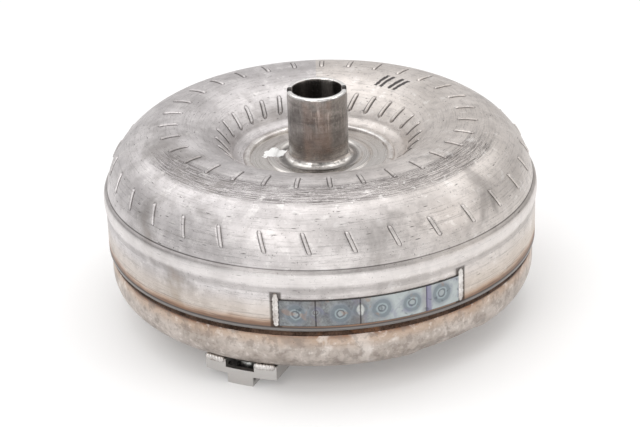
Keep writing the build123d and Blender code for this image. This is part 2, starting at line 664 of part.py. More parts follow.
with BuildPart() as turbine_hub:
    turn(
        (INPUT_SPLINE_RADIUS, HUB_BOSS_BOTTOM_Z),
        (TURBINE_BOSS_RADIUS - 0.8, HUB_BOSS_BOTTOM_Z),
        (TURBINE_BOSS_RADIUS, HUB_BOSS_BOTTOM_Z + 0.8),
        (TURBINE_BOSS_RADIUS, SEAL_GROOVE_Z),
        (TURBINE_BOSS_RADIUS - SEAL_DEPTH, SEAL_GROOVE_Z),
        (TURBINE_BOSS_RADIUS - SEAL_DEPTH, SEAL_GROOVE_Z + SEAL_HEIGHT),
        (TURBINE_BOSS_RADIUS, SEAL_GROOVE_Z + SEAL_HEIGHT),
        (TURBINE_BOSS_RADIUS, HUB_SHOULDER_Z),
        (HUB_SHOULDER_RADIUS, HUB_SHOULDER_Z),
        (HUB_SHOULDER_RADIUS, DRIVEN_PLATE_TOP_Z),
        (HUB_PLATE_FLANGE_RADIUS, DRIVEN_PLATE_TOP_Z),
        (HUB_PLATE_FLANGE_RADIUS, HUB_PLATE_FLANGE_TOP_Z),
        (HUB_NECK_RADIUS, HUB_PLATE_FLANGE_TOP_Z + HUB_NECK_FLARE),
        (HUB_NECK_RADIUS, TURBINE_FLANGE_BOTTOM_Z - HUB_NECK_FLARE),
        (HUB_NECK_RADIUS + 6.0, TURBINE_FLANGE_BOTTOM_Z),
        (HUB_SHELL_FLANGE_RADIUS, TURBINE_FLANGE_BOTTOM_Z),
        (HUB_SHELL_FLANGE_RADIUS, TURBINE_FLANGE_Z),
        (RACE_INNER_RADIUS - 1, TURBINE_FLANGE_Z),
        (RACE_INNER_RADIUS - 1, TURBINE_FLANGE_Z + HUB_SPIGOT_HEIGHT),
        (INPUT_SPLINE_RADIUS, TURBINE_FLANGE_Z + HUB_SPIGOT_HEIGHT),
    )
    with BuildSketch(Plane.XY.offset(HUB_BOSS_BOTTOM_Z)):
        with PolarLocations(INPUT_SPLINE_RADIUS - 0.2, INPUT_SPLINE_COUNT):
            Rectangle(INPUT_SPLINE_TOOTH, INPUT_SPLINE_TOOTH)
    extrude(amount=TURBINE_FLANGE_Z - HUB_BOSS_BOTTOM_Z)
    pins(RIVET_COUNT, RIVET_CIRCLE_RADIUS, RIVET_RADIUS, TURBINE_FLANGE_BOTTOM_Z, TURBINE_FLANGE_Z,
         mode=Mode.SUBTRACT)
    pins(PLATE_RIVET_COUNT, PLATE_RIVET_CIRCLE_RADIUS, RIVET_RADIUS, DRIVEN_PLATE_TOP_Z,
         HUB_PLATE_FLANGE_TOP_Z + HUB_NECK_FLARE, mode=Mode.SUBTRACT)
turbine_hub.part.label = "turbine_hub"
export_step(turbine_hub.part, "parts/turbine_hub.step")

with BuildPart() as turbine_rivets:
    head_radius = RIVET_RADIUS + RIVET_HEAD_OVERHANG
    seat_top = TURBINE_FLANGE_Z + TURBINE_SHEET
    pins(RIVET_COUNT, RIVET_CIRCLE_RADIUS, RIVET_RADIUS, TURBINE_FLANGE_BOTTOM_Z, seat_top)
    pins(RIVET_COUNT, RIVET_CIRCLE_RADIUS, head_radius, seat_top, seat_top + RIVET_HEAD_HEIGHT)
    pins(RIVET_COUNT, RIVET_CIRCLE_RADIUS, head_radius, TURBINE_FLANGE_BOTTOM_Z - RIVET_HEAD_HEIGHT,
         TURBINE_FLANGE_BOTTOM_Z)
turbine_rivets.part.label = "turbine_rivets"
export_step(turbine_rivets.part, "parts/turbine_rivets.step")

with BuildPart() as piston_seal_ring:
    ring(TURBINE_BOSS_RADIUS - SEAL_DEPTH + 0.3, TURBINE_BOSS_RADIUS + SLIDING_CLEARANCE - 0.02,
         SEAL_GROOVE_Z + 0.1, SEAL_GROOVE_Z + SEAL_HEIGHT - 0.1)
piston_seal_ring.part.label = "piston_seal_ring"
export_step(piston_seal_ring.part, "parts/piston_seal_ring.step")

WASHER_INNER_RADIUS = 16.0
WASHER_OUTER_RADIUS = 23.0
WASHER_TOP_Z = HUB_BOSS_BOTTOM_Z - 0.3
OIL_GROOVE_WIDTH = 3.0
OIL_GROOVE_DEPTH = 0.7

with BuildPart() as cover_thrust_washer:
    ring(WASHER_INNER_RADIUS, WASHER_OUTER_RADIUS, COVER_TOP_FACE_Z, WASHER_TOP_Z)
    for angle in (0, 60, 120):
        with BuildSketch(Plane.XY.offset(WASHER_TOP_Z).rotated((0, 0, angle))):
            Rectangle(3 * WASHER_OUTER_RADIUS, OIL_GROOVE_WIDTH)
        extrude(amount=-OIL_GROOVE_DEPTH, mode=Mode.SUBTRACT)
cover_thrust_washer.part.label = "cover_thrust_washer"
export_step(cover_thrust_washer.part, "parts/cover_thrust_washer.step")

# Lock-up damper: driven plate on the turbine hub, two drive plates, stop pins and springs ----

SPRING_STEP = 360 / SPRING_COUNT
WINDOW_LENGTH = SPRING_LENGTH + 0.6
WINDOW_DEPTH = 2 * SPRING_RADIUS + 0.8
SLOT_HALF_ANGLE = DAMPER_TRAVEL + 0.25
FRONT_PLATE_Z = DRIVEN_PLATE_Z - DRIVE_PLATE_GAP - DRIVE_PLATE_SHEET
REAR_PLATE_Z = DRIVEN_PLATE_TOP_Z + DRIVE_PLATE_GAP
REAR_PLATE_TOP_Z = REAR_PLATE_Z + DRIVE_PLATE_SHEET
PIN_HEAD = 1.2
PIN_HEAD_OVERHANG = 1.3


def damper_plate(inner, outer, bottom, sheet):
    """Flat damper plate with a window for each spring, into the active part."""
    ring(inner, outer, bottom, bottom + sheet)
    with BuildSketch(Plane.XY.offset(bottom)) as windows:
        with PolarLocations(SPRING_CIRCLE_RADIUS, SPRING_COUNT):
            RectangleRounded(WINDOW_DEPTH, WINDOW_LENGTH, 1.5)
    extrude(windows.sketch, amount=sheet, mode=Mode.SUBTRACT)


with BuildPart() as driven_plate:
    damper_plate(HUB_SHOULDER_RADIUS, DAMPER_RADIUS, DRIVEN_PLATE_Z, DRIVEN_PLATE_SHEET)
    with BuildSketch(Plane.XY.offset(DRIVEN_PLATE_Z)):
        for index in range(SPRING_COUNT):
            middle = (index + 0.5) * SPRING_STEP
            SlotArc(
                CenterArc((0, 0), STOP_PIN_CIRCLE_RADIUS, middle - SLOT_HALF_ANGLE, 2 * SLOT_HALF_ANGLE),
                2 * STOP_PIN_RADIUS + 0.6,
            )
    extrude(amount=DRIVEN_PLATE_SHEET, mode=Mode.SUBTRACT)
    pins(PLATE_RIVET_COUNT, PLATE_RIVET_CIRCLE_RADIUS, RIVET_RADIUS, DRIVEN_PLATE_Z, DRIVEN_PLATE_TOP_Z,
         mode=Mode.SUBTRACT)
driven_plate.part.label = "driven_plate"
export_step(driven_plate.part, "parts/driven_plate.step")

with BuildPart() as driven_plate_rivets:
    pins(PLATE_RIVET_COUNT, PLATE_RIVET_CIRCLE_RADIUS, RIVET_RADIUS, DRIVEN_PLATE_Z,
         HUB_PLATE_FLANGE_TOP_Z + PLATE_RIVET_UPSET)
driven_plate_rivets.part.label = "driven_plate_rivets"
export_step(driven_plate_rivets.part, "parts/driven_plate_rivets.step")

with BuildPart() as front_drive_plate:
    damper_plate(HUB_SHOULDER_RADIUS + SLIDING_CLEARANCE, DAMPER_RADIUS + 7, FRONT_PLATE_Z, DRIVE_PLATE_SHEET)
    with BuildSketch(Plane.XY.offset(FRONT_PLATE_Z)):
        with PolarLocations(DAMPER_RADIUS + 6.5, SPRING_COUNT, start_angle=SPRING_STEP / 2):
            Rectangle(10, TAB_WIDTH + 0.6)
    extrude(amount=DRIVE_PLATE_SHEET, mode=Mode.SUBTRACT)
    pins(SPRING_COUNT, STOP_PIN_CIRCLE_RADIUS, STOP_PIN_RADIUS, FRONT_PLATE_Z,
         FRONT_PLATE_Z + DRIVE_PLATE_SHEET, start=SPRING_STEP / 2, mode=Mode.SUBTRACT)
front_drive_plate.part.label = "front_drive_plate"
export_step(front_drive_plate.part, "parts/front_drive_plate.step")

with BuildPart() as rear_drive_plate:
    damper_plate(HUB_PLATE_FLANGE_RADIUS + 1.5, DAMPER_RADIUS, REAR_PLATE_Z, DRIVE_PLATE_SHEET)
    pins(SPRING_COUNT, STOP_PIN_CIRCLE_RADIUS, STOP_PIN_RADIUS, REAR_PLATE_Z, REAR_PLATE_TOP_Z,
         start=SPRING_STEP / 2, mode=Mode.SUBTRACT)
rear_drive_plate.part.label = "rear_drive_plate"
export_step(rear_drive_plate.part, "parts/rear_drive_plate.step")

with BuildPart() as stop_pins:
    pins(SPRING_COUNT, STOP_PIN_CIRCLE_RADIUS, STOP_PIN_RADIUS, FRONT_PLATE_Z, REAR_PLATE_TOP_Z,
         start=SPRING_STEP / 2)
    pins(SPRING_COUNT, STOP_PIN_CIRCLE_RADIUS, STOP_PIN_RADIUS + PIN_HEAD_OVERHANG, REAR_PLATE_TOP_Z,
         REAR_PLATE_TOP_Z + PIN_HEAD, start=SPRING_STEP / 2)
    pins(SPRING_COUNT, STOP_PIN_CIRCLE_RADIUS, STOP_PIN_RADIUS + PIN_HEAD_OVERHANG,
         FRONT_PLATE_Z - PIN_HEAD, FRONT_PLATE_Z, start=SPRING_STEP / 2)
stop_pins.part.label = "stop_pins"
export_step(stop_pins.part, "parts/stop_pins.step")

SPRING_CENTRE_Z = DRIVEN_PLATE_Z + DRIVEN_PLATE_SHEET / 2
SPRING_COILS = 6.5
COIL_RADIUS = SPRING_RADIUS - SPRING_WIRE_RADIUS
COIL_HEIGHT = SPRING_LENGTH - 2 * SPRING_WIRE_RADIUS

for index in range(SPRING_COUNT):
    with BuildPart() as damper_spring:
        with BuildLine():
            coil = Helix(
                COIL_HEIGHT / SPRING_COILS,
                COIL_HEIGHT,
                COIL_RADIUS,
                center=(SPRING_CIRCLE_RADIUS, -COIL_HEIGHT / 2, SPRING_CENTRE_Z),
                direction=(0, 1, 0),
            )
        with BuildSketch(Plane(origin=coil @ 0, z_dir=coil % 0)):
            Circle(SPRING_WIRE_RADIUS)
        sweep(path=coil, is_frenet=True)
    placed_spring = Rot(0, 0, index * SPRING_STEP) * damper_spring.part
    placed_spring.label = f"damper_spring_{index + 1}"
    export_step(placed_spring, f"parts/damper_spring_{index + 1}.step")

# Lock-up piston with its lining and its drive tabs ------------------------------------------

PISTON_TOP_Z = PISTON_Z + PISTON_SHEET
PISTON_BORE = TURBINE_BOSS_RADIUS + SLIDING_CLEARANCE
PISTON_RIM_TOP_Z = 34.0
PISTON_COLLAR_TOP_Z = 31.4
LINING_INNER_RADIUS = 106.0
LINING_OUTER_RADIUS = 130.0
LINING_GROOVE_COUNT = 24
LINING_GROOVE_WIDTH = 1.6
TAB_RING_INNER_RADIUS = 92.0
TAB_RING_SHEET = 1.8
TAB_TOP_Z = 38.0
TAB_RIVET_CIRCLE_RADIUS = 96.0

with BuildPart() as lockup_piston:
    with BuildSketch(Plane.XZ):
        with BuildLine():
            edge_centre = (PISTON_RADIUS - PISTON_CORNER, PISTON_Z + PISTON_CORNER)
            outside = CenterArc(edge_centre, PISTON_CORNER, 0, -90)
            hollow = CenterArc(edge_centre, PISTON_CORNER - PISTON_SHEET, 0, -90)
            Polyline(
                outside @ 1,
                (PISTON_BORE, PISTON_Z),
                (PISTON_BORE, PISTON_COLLAR_TOP_Z),
                (PISTON_BORE + PISTON_SHEET, PISTON_COLLAR_TOP_Z),
                (PISTON_BORE + PISTON_SHEET, PISTON_TOP_Z),
                hollow @ 1,
            )
            Polyline(
                outside @ 0,
                (PISTON_RADIUS, PISTON_RIM_TOP_Z),
                (PISTON_RADIUS - PISTON_SHEET, PISTON_RIM_TOP_Z),
                hollow @ 0,
            )
        make_face()
    revolve(axis=Axis.Z)
    pins(SPRING_COUNT, TAB_RIVET_CIRCLE_RADIUS, RIVET_RADIUS, PISTON_Z, PISTON_TOP_Z, mode=Mode.SUBTRACT)
lockup_piston.part.label = "lockup_piston"
export_step(lockup_piston.part, "parts/lockup_piston.step")

with BuildPart() as friction_lining:
    ring(LINING_INNER_RADIUS, LINING_OUTER_RADIUS, PISTON_Z - LINING_THICKNESS, PISTON_Z)
    with BuildSketch(Plane.XY.offset(PISTON_Z - LINING_THICKNESS)):
        with PolarLocations((LINING_INNER_RADIUS + LINING_OUTER_RADIUS) / 2, LINING_GROOVE_COUNT):
            Rectangle(2 * (LINING_OUTER_RADIUS - LINING_INNER_RADIUS), LINING_GROOVE_WIDTH)
    extrude(amount=LINING_THICKNESS / 2, mode=Mode.SUBTRACT)
friction_lining.part.label = "friction_lining"
export_step(friction_lining.part, "parts/friction_lining.step")

with BuildPart() as drive_tab_ring:
    ring(TAB_RING_INNER_RADIUS, TAB_OUTER_RADIUS, PISTON_TOP_Z, PISTON_TOP_Z + TAB_RING_SHEET)
    with BuildSketch(Plane.XY.offset(PISTON_TOP_Z)):
        with PolarLocations((TAB_INNER_RADIUS + TAB_OUTER_RADIUS) / 2, SPRING_COUNT,
                            start_angle=SPRING_STEP / 2):
            Rectangle(TAB_OUTER_RADIUS - TAB_INNER_RADIUS, TAB_WIDTH)
    extrude(amount=TAB_TOP_Z - PISTON_TOP_Z)
    pins(SPRING_COUNT, TAB_RIVET_CIRCLE_RADIUS, RIVET_RADIUS, PISTON_TOP_Z, PISTON_TOP_Z + TAB_RING_SHEET,
         mode=Mode.SUBTRACT)
drive_tab_ring.part.label = "drive_tab_ring"
export_step(drive_tab_ring.part, "parts/drive_tab_ring.step")

with BuildPart() as tab_ring_rivets:
    pins(SPRING_COUNT, TAB_RIVET_CIRCLE_RADIUS, RIVET_RADIUS, PISTON_Z, PISTON_TOP_Z + TAB_RING_SHEET)
    pins(SPRING_COUNT, TAB_RIVET_CIRCLE_RADIUS, RIVET_RADIUS + 1.2, PISTON_TOP_Z + TAB_RING_SHEET,
         PISTON_TOP_Z + TAB_RING_SHEET + 1.0)
tab_ring_rivets.part.label = "tab_ring_rivets"
export_step(tab_ring_rivets.part, "parts/tab_ring_rivets.step")

# Stator and its one-way clutch --------------------------------------------------------------

STATOR_BOTTOM_Z = 74.5
STATOR_TOP_Z = 101.5
STATOR_LIP_RADIUS = 41.0
STATOR_LIP_TOP_Z = 76.5
STATOR_RIM_BOTTOM_Z = 76.5
STATOR_RIM_TOP_Z = 101.0
SNAP_GROOVE_Z = 97.2
SNAP_GROOVE_HEIGHT = 1.4
SNAP_GROOVE_RADIUS = 46.6

with BuildPart() as stator_wheel:
    with BuildSketch(Plane(origin=(STATOR_HUB_RADIUS - 1.5, 0, 0), x_dir=(0, 1, 0), z_dir=(1, 0, 0))):
        with BuildLine():
            hollow_side = Spline((-5.5, 80.0), (-4.0, 90.0), (6.8, 100.0))
            tail = Line(hollow_side @ 1, (7.8, 99.4))
            full_side = Spline(tail @ 1, (1.5, 90.0), (-0.6, 80.0))
            ThreePointArc(full_side @ 1, (-3.05, 77.3), hollow_side @ 0)
        make_face()
    extrude(amount=STATOR_RIM_INNER_RADIUS - STATOR_HUB_RADIUS + 3)
    one_vane = stator_wheel.part
    with PolarLocations(0, STATOR_BLADE_COUNT - 1, start_angle=360 / STATOR_BLADE_COUNT,
                        angular_range=360 - 360 / STATOR_BLADE_COUNT):
        add(one_vane)
    turn(
        (STATOR_LIP_RADIUS, STATOR_BOTTOM_Z),
        (STATOR_HUB_RADIUS - 1, STATOR_BOTTOM_Z),
        (STATOR_HUB_RADIUS, STATOR_BOTTOM_Z + 1),
        (STATOR_HUB_RADIUS, STATOR_TOP_Z - 1),
        (STATOR_HUB_RADIUS - 1, STATOR_TOP_Z),
        (STATOR_BORE_RADIUS, STATOR_TOP_Z),
        (STATOR_BORE_RADIUS, SNAP_GROOVE_Z + SNAP_GROOVE_HEIGHT),
        (SNAP_GROOVE_RADIUS, SNAP_GROOVE_Z + SNAP_GROOVE_HEIGHT),
        (SNAP_GROOVE_RADIUS, SNAP_GROOVE_Z),
        (STATOR_BORE_RADIUS, SNAP_GROOVE_Z),
        (STATOR_BORE_RADIUS, STATOR_LIP_TOP_Z),
        (STATOR_LIP_RADIUS, STATOR_LIP_TOP_Z),
    )
    ring(STATOR_RIM_INNER_RADIUS, STATOR_RIM_OUTER_RADIUS, STATOR_RIM_BOTTOM_Z, STATOR_RIM_TOP_Z)
stator_wheel.part.label = "stator_wheel"
export_step(stator_wheel.part, "parts/stator_wheel.step")

RAMP_ANGLE = 11.0
RAMP_FREE_RADIUS = 32.0         # circle of the ramps' open ends, where a roller is free
RAMP_TIGHT_GAP = 0.06
RAMP_FREE_GAP = 1.2
OUTER_RACE_BORE = 34.2

with BuildPart() as clutch_outer_race:
    ring(OUTER_RACE_BORE, STATOR_BORE_RADIUS, CLUTCH_BOTTOM_Z, CLUTCH_TOP_Z)
    with BuildSketch(Plane.XY.offset(CLUTCH_BOTTOM_Z)) as ramps:
        for index in range(ROLLER_COUNT):
            tight = math.radians(index * 360 / ROLLER_COUNT)
            free = tight + math.radians(RAMP_ANGLE)
            tight_end = (ROLLER_CIRCLE_RADIUS * math.cos(tight), ROLLER_CIRCLE_RADIUS * math.sin(tight))
            free_end = (RAMP_FREE_RADIUS * math.cos(free), RAMP_FREE_RADIUS * math.sin(free))
            with BuildSketch(mode=Mode.PRIVATE) as ramp:
                with Locations(tight_end):
                    Circle(ROLLER_RADIUS + RAMP_TIGHT_GAP)
                with Locations(free_end):
                    Circle(ROLLER_RADIUS + RAMP_FREE_GAP)
                make_hull()
            add(ramp.sketch)
    extrude(amount=CLUTCH_TOP_Z - CLUTCH_BOTTOM_Z, mode=Mode.SUBTRACT)
clutch_outer_race.part.label = "clutch_outer_race"
export_step(clutch_outer_race.part, "parts/clutch_outer_race.step")

with BuildPart() as clutch_rollers:
    pins(ROLLER_COUNT, ROLLER_CIRCLE_RADIUS, ROLLER_RADIUS, CLUTCH_BOTTOM_Z + ROLLER_END_GAP,
         CLUTCH_TOP_Z - ROLLER_END_GAP)
clutch_rollers.part.label = "clutch_rollers"
export_step(clutch_rollers.part, "parts/clutch_rollers.step")

FOLD_INNER_RADIUS = 30.0        # the accordion springs that push the rollers into their ramps
FOLD_DEPTH = 4.0
FOLD_COUNT = 7
FOLD_START = 8.4
FOLD_STEP = 1.3
SPRING_STRIP = 0.35
SPRING_STRIP_INSET = 3.0

with BuildPart() as clutch_springs:
    with BuildSketch(Plane.XY.offset(CLUTCH_BOTTOM_Z + SPRING_STRIP_INSET)):
        for index in range(ROLLER_COUNT):
            first_fold = index * 360 / ROLLER_COUNT + FOLD_START
            folds = [
                (FOLD_INNER_RADIUS + FOLD_DEPTH * (step % 2), first_fold + FOLD_STEP * step)
                for step in range(FOLD_COUNT)
            ]
            with BuildLine():
                Polyline(*[plan_point(radius, angle, 0) for radius, angle in folds])
            trace(line_width=SPRING_STRIP)
    extrude(amount=CLUTCH_TOP_Z - CLUTCH_BOTTOM_Z - 2 * SPRING_STRIP_INSET)
clutch_springs.part.label = "clutch_springs"
export_step(clutch_springs.part, "parts/clutch_springs.step")

STATOR_SPLINE_COUNT = 30
STATOR_SPLINE_TOOTH = 1.6
RACE_END_GAP = 0.2

with BuildPart() as clutch_inner_race:
    ring(STATOR_SPLINE_RADIUS, INNER_RACE_RADIUS, CLUTCH_BOTTOM_Z + RACE_END_GAP, CLUTCH_TOP_Z - RACE_END_GAP)
    with BuildSketch(Plane.XY.offset(CLUTCH_BOTTOM_Z + RACE_END_GAP)):
        with PolarLocations(STATOR_SPLINE_RADIUS - 0.2, STATOR_SPLINE_COUNT):
            Rectangle(STATOR_SPLINE_TOOTH, STATOR_SPLINE_TOOTH)
    extrude(amount=CLUTCH_TOP_Z - CLUTCH_BOTTOM_Z - 2 * RACE_END_GAP)
clutch_inner_race.part.label = "clutch_inner_race"
export_step(clutch_inner_race.part, "parts/clutch_inner_race.step")

NEEDLE_SPACE = 2 * (NEEDLE_RADIUS + BEARING_CLEARANCE)
FRONT_CAP_Z = TURBINE_RACE_Z + RACE_SHEET + NEEDLE_SPACE
REAR_CAP_TOP_Z = IMPELLER_RACE_Z - NEEDLE_SPACE
CAP_BORE_RADIUS = 24.0

with BuildPart() as front_thrust_cap:
    turn(
        (CAP_BORE_RADIUS, FRONT_CAP_Z),
        (STATOR_LIP_RADIUS - 0.1, FRONT_CAP_Z),
        (STATOR_LIP_RADIUS - 0.1, STATOR_LIP_TOP_Z),
        (STATOR_BORE_RADIUS - 0.1, STATOR_LIP_TOP_Z),
        (STATOR_BORE_RADIUS - 0.1, CLUTCH_BOTTOM_Z),
        (CAP_BORE_RADIUS, CLUTCH_BOTTOM_Z),
    )
front_thrust_cap.part.label = "front_thrust_cap"
export_step(front_thrust_cap.part, "parts/front_thrust_cap.step")

with BuildPart() as rear_thrust_cap:
    turn(
        (CAP_BORE_RADIUS, CLUTCH_TOP_Z),
        (STATOR_BORE_RADIUS - 0.1, CLUTCH_TOP_Z),
        (STATOR_BORE_RADIUS - 0.1, SNAP_GROOVE_Z),
        (RACE_OUTER_RADIUS, SNAP_GROOVE_Z),
        (RACE_OUTER_RADIUS, REAR_CAP_TOP_Z),
        (CAP_BORE_RADIUS, REAR_CAP_TOP_Z),
    )
rear_thrust_cap.part.label = "rear_thrust_cap"
export_step(rear_thrust_cap.part, "parts/rear_thrust_cap.step")

SNAP_RING_GAP = 9.0

with BuildPart() as clutch_snap_ring:
    ring(RACE_OUTER_RADIUS + 0.6, SNAP_GROOVE_RADIUS - 0.1, SNAP_GROOVE_Z,
         SNAP_GROOVE_Z + SNAP_GROOVE_HEIGHT - 0.1)
    with BuildSketch(Plane.XY.offset(SNAP_GROOVE_Z)):
        with Locations((STATOR_BORE_RADIUS, 0)):
            Rectangle(3 * SNAP_RING_GAP / 2, SNAP_RING_GAP)
    extrude(amount=SNAP_GROOVE_HEIGHT, mode=Mode.SUBTRACT)
clutch_snap_ring.part.label = "clutch_snap_ring"
export_step(clutch_snap_ring.part, "parts/clutch_snap_ring.step")

# Needle thrust bearings: a race on each shaft side, needles and their cage -------------------

with BuildPart() as turbine_bearing_race:
    ring(RACE_INNER_RADIUS, RACE_OUTER_RADIUS, TURBINE_RACE_Z, TURBINE_RACE_Z + RACE_SHEET)
turbine_bearing_race.part.label = "turbine_bearing_race"
export_step(turbine_bearing_race.part, "parts/turbine_bearing_race.step")

with BuildPart() as impeller_bearing_race:
    ring(RACE_INNER_RADIUS, RACE_OUTER_RADIUS, IMPELLER_RACE_Z, HUB_FLANGE_BOTTOM_Z)
impeller_bearing_race.part.label = "impeller_bearing_race"
export_step(impeller_bearing_race.part, "parts/impeller_bearing_race.step")

CAGE_SHEET = 1.4
BEARINGS = {
    "turbine_bearing": TURBINE_RACE_Z + RACE_SHEET + NEEDLE_SPACE / 2,
    "impeller_bearing": IMPELLER_RACE_Z - NEEDLE_SPACE / 2,
}

for bearing_name, needle_z in BEARINGS.items():
    with BuildPart() as needles:
        with PolarLocations(NEEDLE_CIRCLE_RADIUS, NEEDLE_COUNT):
            with Locations((0, 0, needle_z)):
                Cylinder(NEEDLE_RADIUS, NEEDLE_LENGTH, rotation=(0, 90, 0))
    needles.part.label = f"{bearing_name}_needles"
    export_step(needles.part, f"parts/{bearing_name}_needles.step")

    with BuildPart() as cage:
        ring(RACE_INNER_RADIUS - 0.4, RACE_OUTER_RADIUS - 0.6, needle_z - CAGE_SHEET / 2,
             needle_z + CAGE_SHEET / 2)
        with BuildSketch(Plane.XY.offset(needle_z - CAGE_SHEET / 2)):
            with PolarLocations(NEEDLE_CIRCLE_RADIUS, NEEDLE_COUNT):
                Rectangle(NEEDLE_LENGTH + 0.2, 2 * NEEDLE_RADIUS + 0.06)
        extrude(amount=CAGE_SHEET, mode=Mode.SUBTRACT)
    cage.part.label = f"{bearing_name}_cage"
    export_step(cage.part, f"parts/{bearing_name}_cage.step")
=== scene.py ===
"""Looks of a torque converter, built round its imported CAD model. Metres, +Z towards the gearbox."""

import json
import math

import bpy
import numpy as np
from mathutils import Matrix, Vector

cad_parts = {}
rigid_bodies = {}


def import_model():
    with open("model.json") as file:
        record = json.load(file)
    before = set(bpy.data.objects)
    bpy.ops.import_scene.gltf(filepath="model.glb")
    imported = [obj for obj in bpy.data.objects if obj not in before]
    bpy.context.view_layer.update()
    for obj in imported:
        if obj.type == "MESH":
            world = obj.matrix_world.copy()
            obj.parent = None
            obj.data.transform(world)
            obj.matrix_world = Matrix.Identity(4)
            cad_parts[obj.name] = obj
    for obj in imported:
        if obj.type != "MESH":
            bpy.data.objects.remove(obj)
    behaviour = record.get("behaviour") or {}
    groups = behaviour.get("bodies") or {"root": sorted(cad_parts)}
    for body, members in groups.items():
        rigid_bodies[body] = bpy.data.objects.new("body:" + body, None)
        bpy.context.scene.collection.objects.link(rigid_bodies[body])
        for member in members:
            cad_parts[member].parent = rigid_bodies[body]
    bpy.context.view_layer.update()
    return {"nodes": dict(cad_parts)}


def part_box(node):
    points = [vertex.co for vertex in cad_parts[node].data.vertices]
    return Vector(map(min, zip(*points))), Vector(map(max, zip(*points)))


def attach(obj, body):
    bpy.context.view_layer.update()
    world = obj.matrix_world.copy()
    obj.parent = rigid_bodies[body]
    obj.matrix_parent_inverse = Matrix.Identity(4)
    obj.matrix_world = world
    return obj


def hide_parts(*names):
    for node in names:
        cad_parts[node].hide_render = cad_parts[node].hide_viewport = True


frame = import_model()

MM = 0.001
FRONT = -90.0                    # direction of -Y; directions below are degrees from it, towards +X
BLADE_COUNT = 31
PITCH = 360 / BLADE_COUNT

# Section of the impeller shell, in millimetres, round the same arcs as the CAD.
CREST_RADIUS = 101.0
OUTER_ARC, OUTER_ARC_Z = 49.0, 87.0
INNER_ARC, INNER_ARC_Z = 47.0, 89.0
SHEET = 3.2
SKIRT_RADIUS = 151.2
SKIRT_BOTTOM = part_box("impeller_shell")[0].z / MM
SKIRT_TOP = 79.0
COVER_RADIUS = 150.0
COVER_FACE_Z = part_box("front_cover")[0].z / MM
COVER_CORNER = 17.0
HUB_RADIUS, HUB_BORE = 20.9, 17.5
HUB_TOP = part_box("impeller_hub")[1].z / MM
HUB_FLOOR = 108.0
NOTCH_WIDTH, NOTCH_DEPTH = 7.0, 5.5
STRIP_START, STRIP_END = -11.3, 35.5
STRIP_LOW, STRIP_HIGH, STRIP_RADIUS = 55.0, 74.0, 152.2

# Marks, by direction and radius or by x and y, in degrees and millimetres.
INK_DIRECTION, INK_RADIUS, INK_OFFSETS = 141.2, 86.5, (-9.0, -4.0, 3.5, 8.0)
PAINT_X, PAINT_Y, PAINT_RADIUS = -31.2, 5.0, 7.9


# Meshes -------------------------------------------------------------------------------------

def arc(centre_r, centre_z, radius, start, end, steps):
    """Points on an arc in a radial section, angles in degrees above the outward horizontal."""
    angles = np.radians(np.linspace(start, end, steps + 1))
    return [(centre_r + radius * math.cos(a), centre_z + radius * math.sin(a)) for a in angles]


def run(start, end, steps):
    """Points along a straight stretch, without the last one."""
    return [tuple(np.add(start, np.subtract(end, start) * i / steps)) for i in range(steps)]


def make_piece(name, points, faces, slot_name, nodes, smooth=True):
    """Mesh object from points in millimetres, riding on the housing and standing for CAD nodes."""
    mesh = bpy.data.meshes.new(name)
    mesh.from_pydata((np.asarray(points, float) * MM).tolist(), [], faces)
    mesh.validate()
    mesh.polygons.foreach_set("use_smooth", [smooth] * len(mesh.polygons))
    mesh.materials.append(looks[slot_name])
    piece = bpy.data.objects.new(name, mesh)
    bpy.context.scene.collection.objects.link(piece)
    dress(piece, "housing", nodes)
    return piece


def dress(piece, body, nodes):
    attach(piece, body)
    if nodes:
        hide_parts(*nodes)


def turned_grid(outline, directions):
    """Points of an outline turned to each direction: (columns, rows, 3). Directions may differ by row."""
    rows = np.asarray(outline, float)
    directions = np.asarray(directions, float)
    if directions.ndim == 1:
        directions = np.repeat(directions[:, None], len(rows), axis=1)
    angles = np.radians(FRONT + directions)
    radius = np.broadcast_to(rows[None, :, 0], angles.shape)
    height = np.broadcast_to(rows[None, :, 1], angles.shape)
    return np.stack([radius * np.cos(angles), radius * np.sin(angles), height], axis=2)


def grid_faces(columns, rows, closed_round):
    """Quads of a grid whose rows close on themselves, with end caps where it doesn't go right round."""
    faces = []
    spans = columns if closed_round else columns - 1
    for i in range(spans):
        a, b = i * rows, ((i + 1) % columns) * rows
        for j in range(rows):
            k = (j + 1) % rows
            faces.append((a + j, b + j, b + k, a + k))
    if not closed_round:
        faces.append(tuple(range(rows)))
        faces.append(tuple((columns - 1) * rows + j for j in reversed(range(rows))))
    return faces


def section_normals(outline):
    """Outward normals of a closed outline that runs up its outer side."""
    points = np.asarray(outline, float)
    along = np.roll(points, -1, axis=0) - np.roll(points, 1, axis=0)
    normals = np.stack([along[:, 1], -along[:, 0]], axis=1)
    return normals / np.maximum(np.linalg.norm(normals, axis=1, keepdims=True), 1e-9)


def push(grid, outline, height):
    """Moves each point of a turned grid along its outward normal by height, in millimetres."""
    normals = section_normals(outline)
    flat = grid[:, :, :2] / np.linalg.norm(grid[:, :, :2], axis=2, keepdims=True)
    grid[:, :, 0] += height * normals[None, :, 0] * flat[:, :, 0]
    grid[:, :, 1] += height * normals[None, :, 0] * flat[:, :, 1]
    grid[:, :, 2] += height * normals[None, :, 1]
    return grid


WAVES = [
    (0.031, (1.0, 0.4, 0.7), 0.3), (0.047, (-0.6, 1.0, 0.5), 1.9), (0.072, (0.3, -0.8, 1.0), 4.1),
    (0.11, (1.0, 0.9, -0.4), 2.7), (0.17, (-0.9, 0.5, 0.8), 5.2), (0.29, (0.6, -1.0, -0.9), 0.8),
]


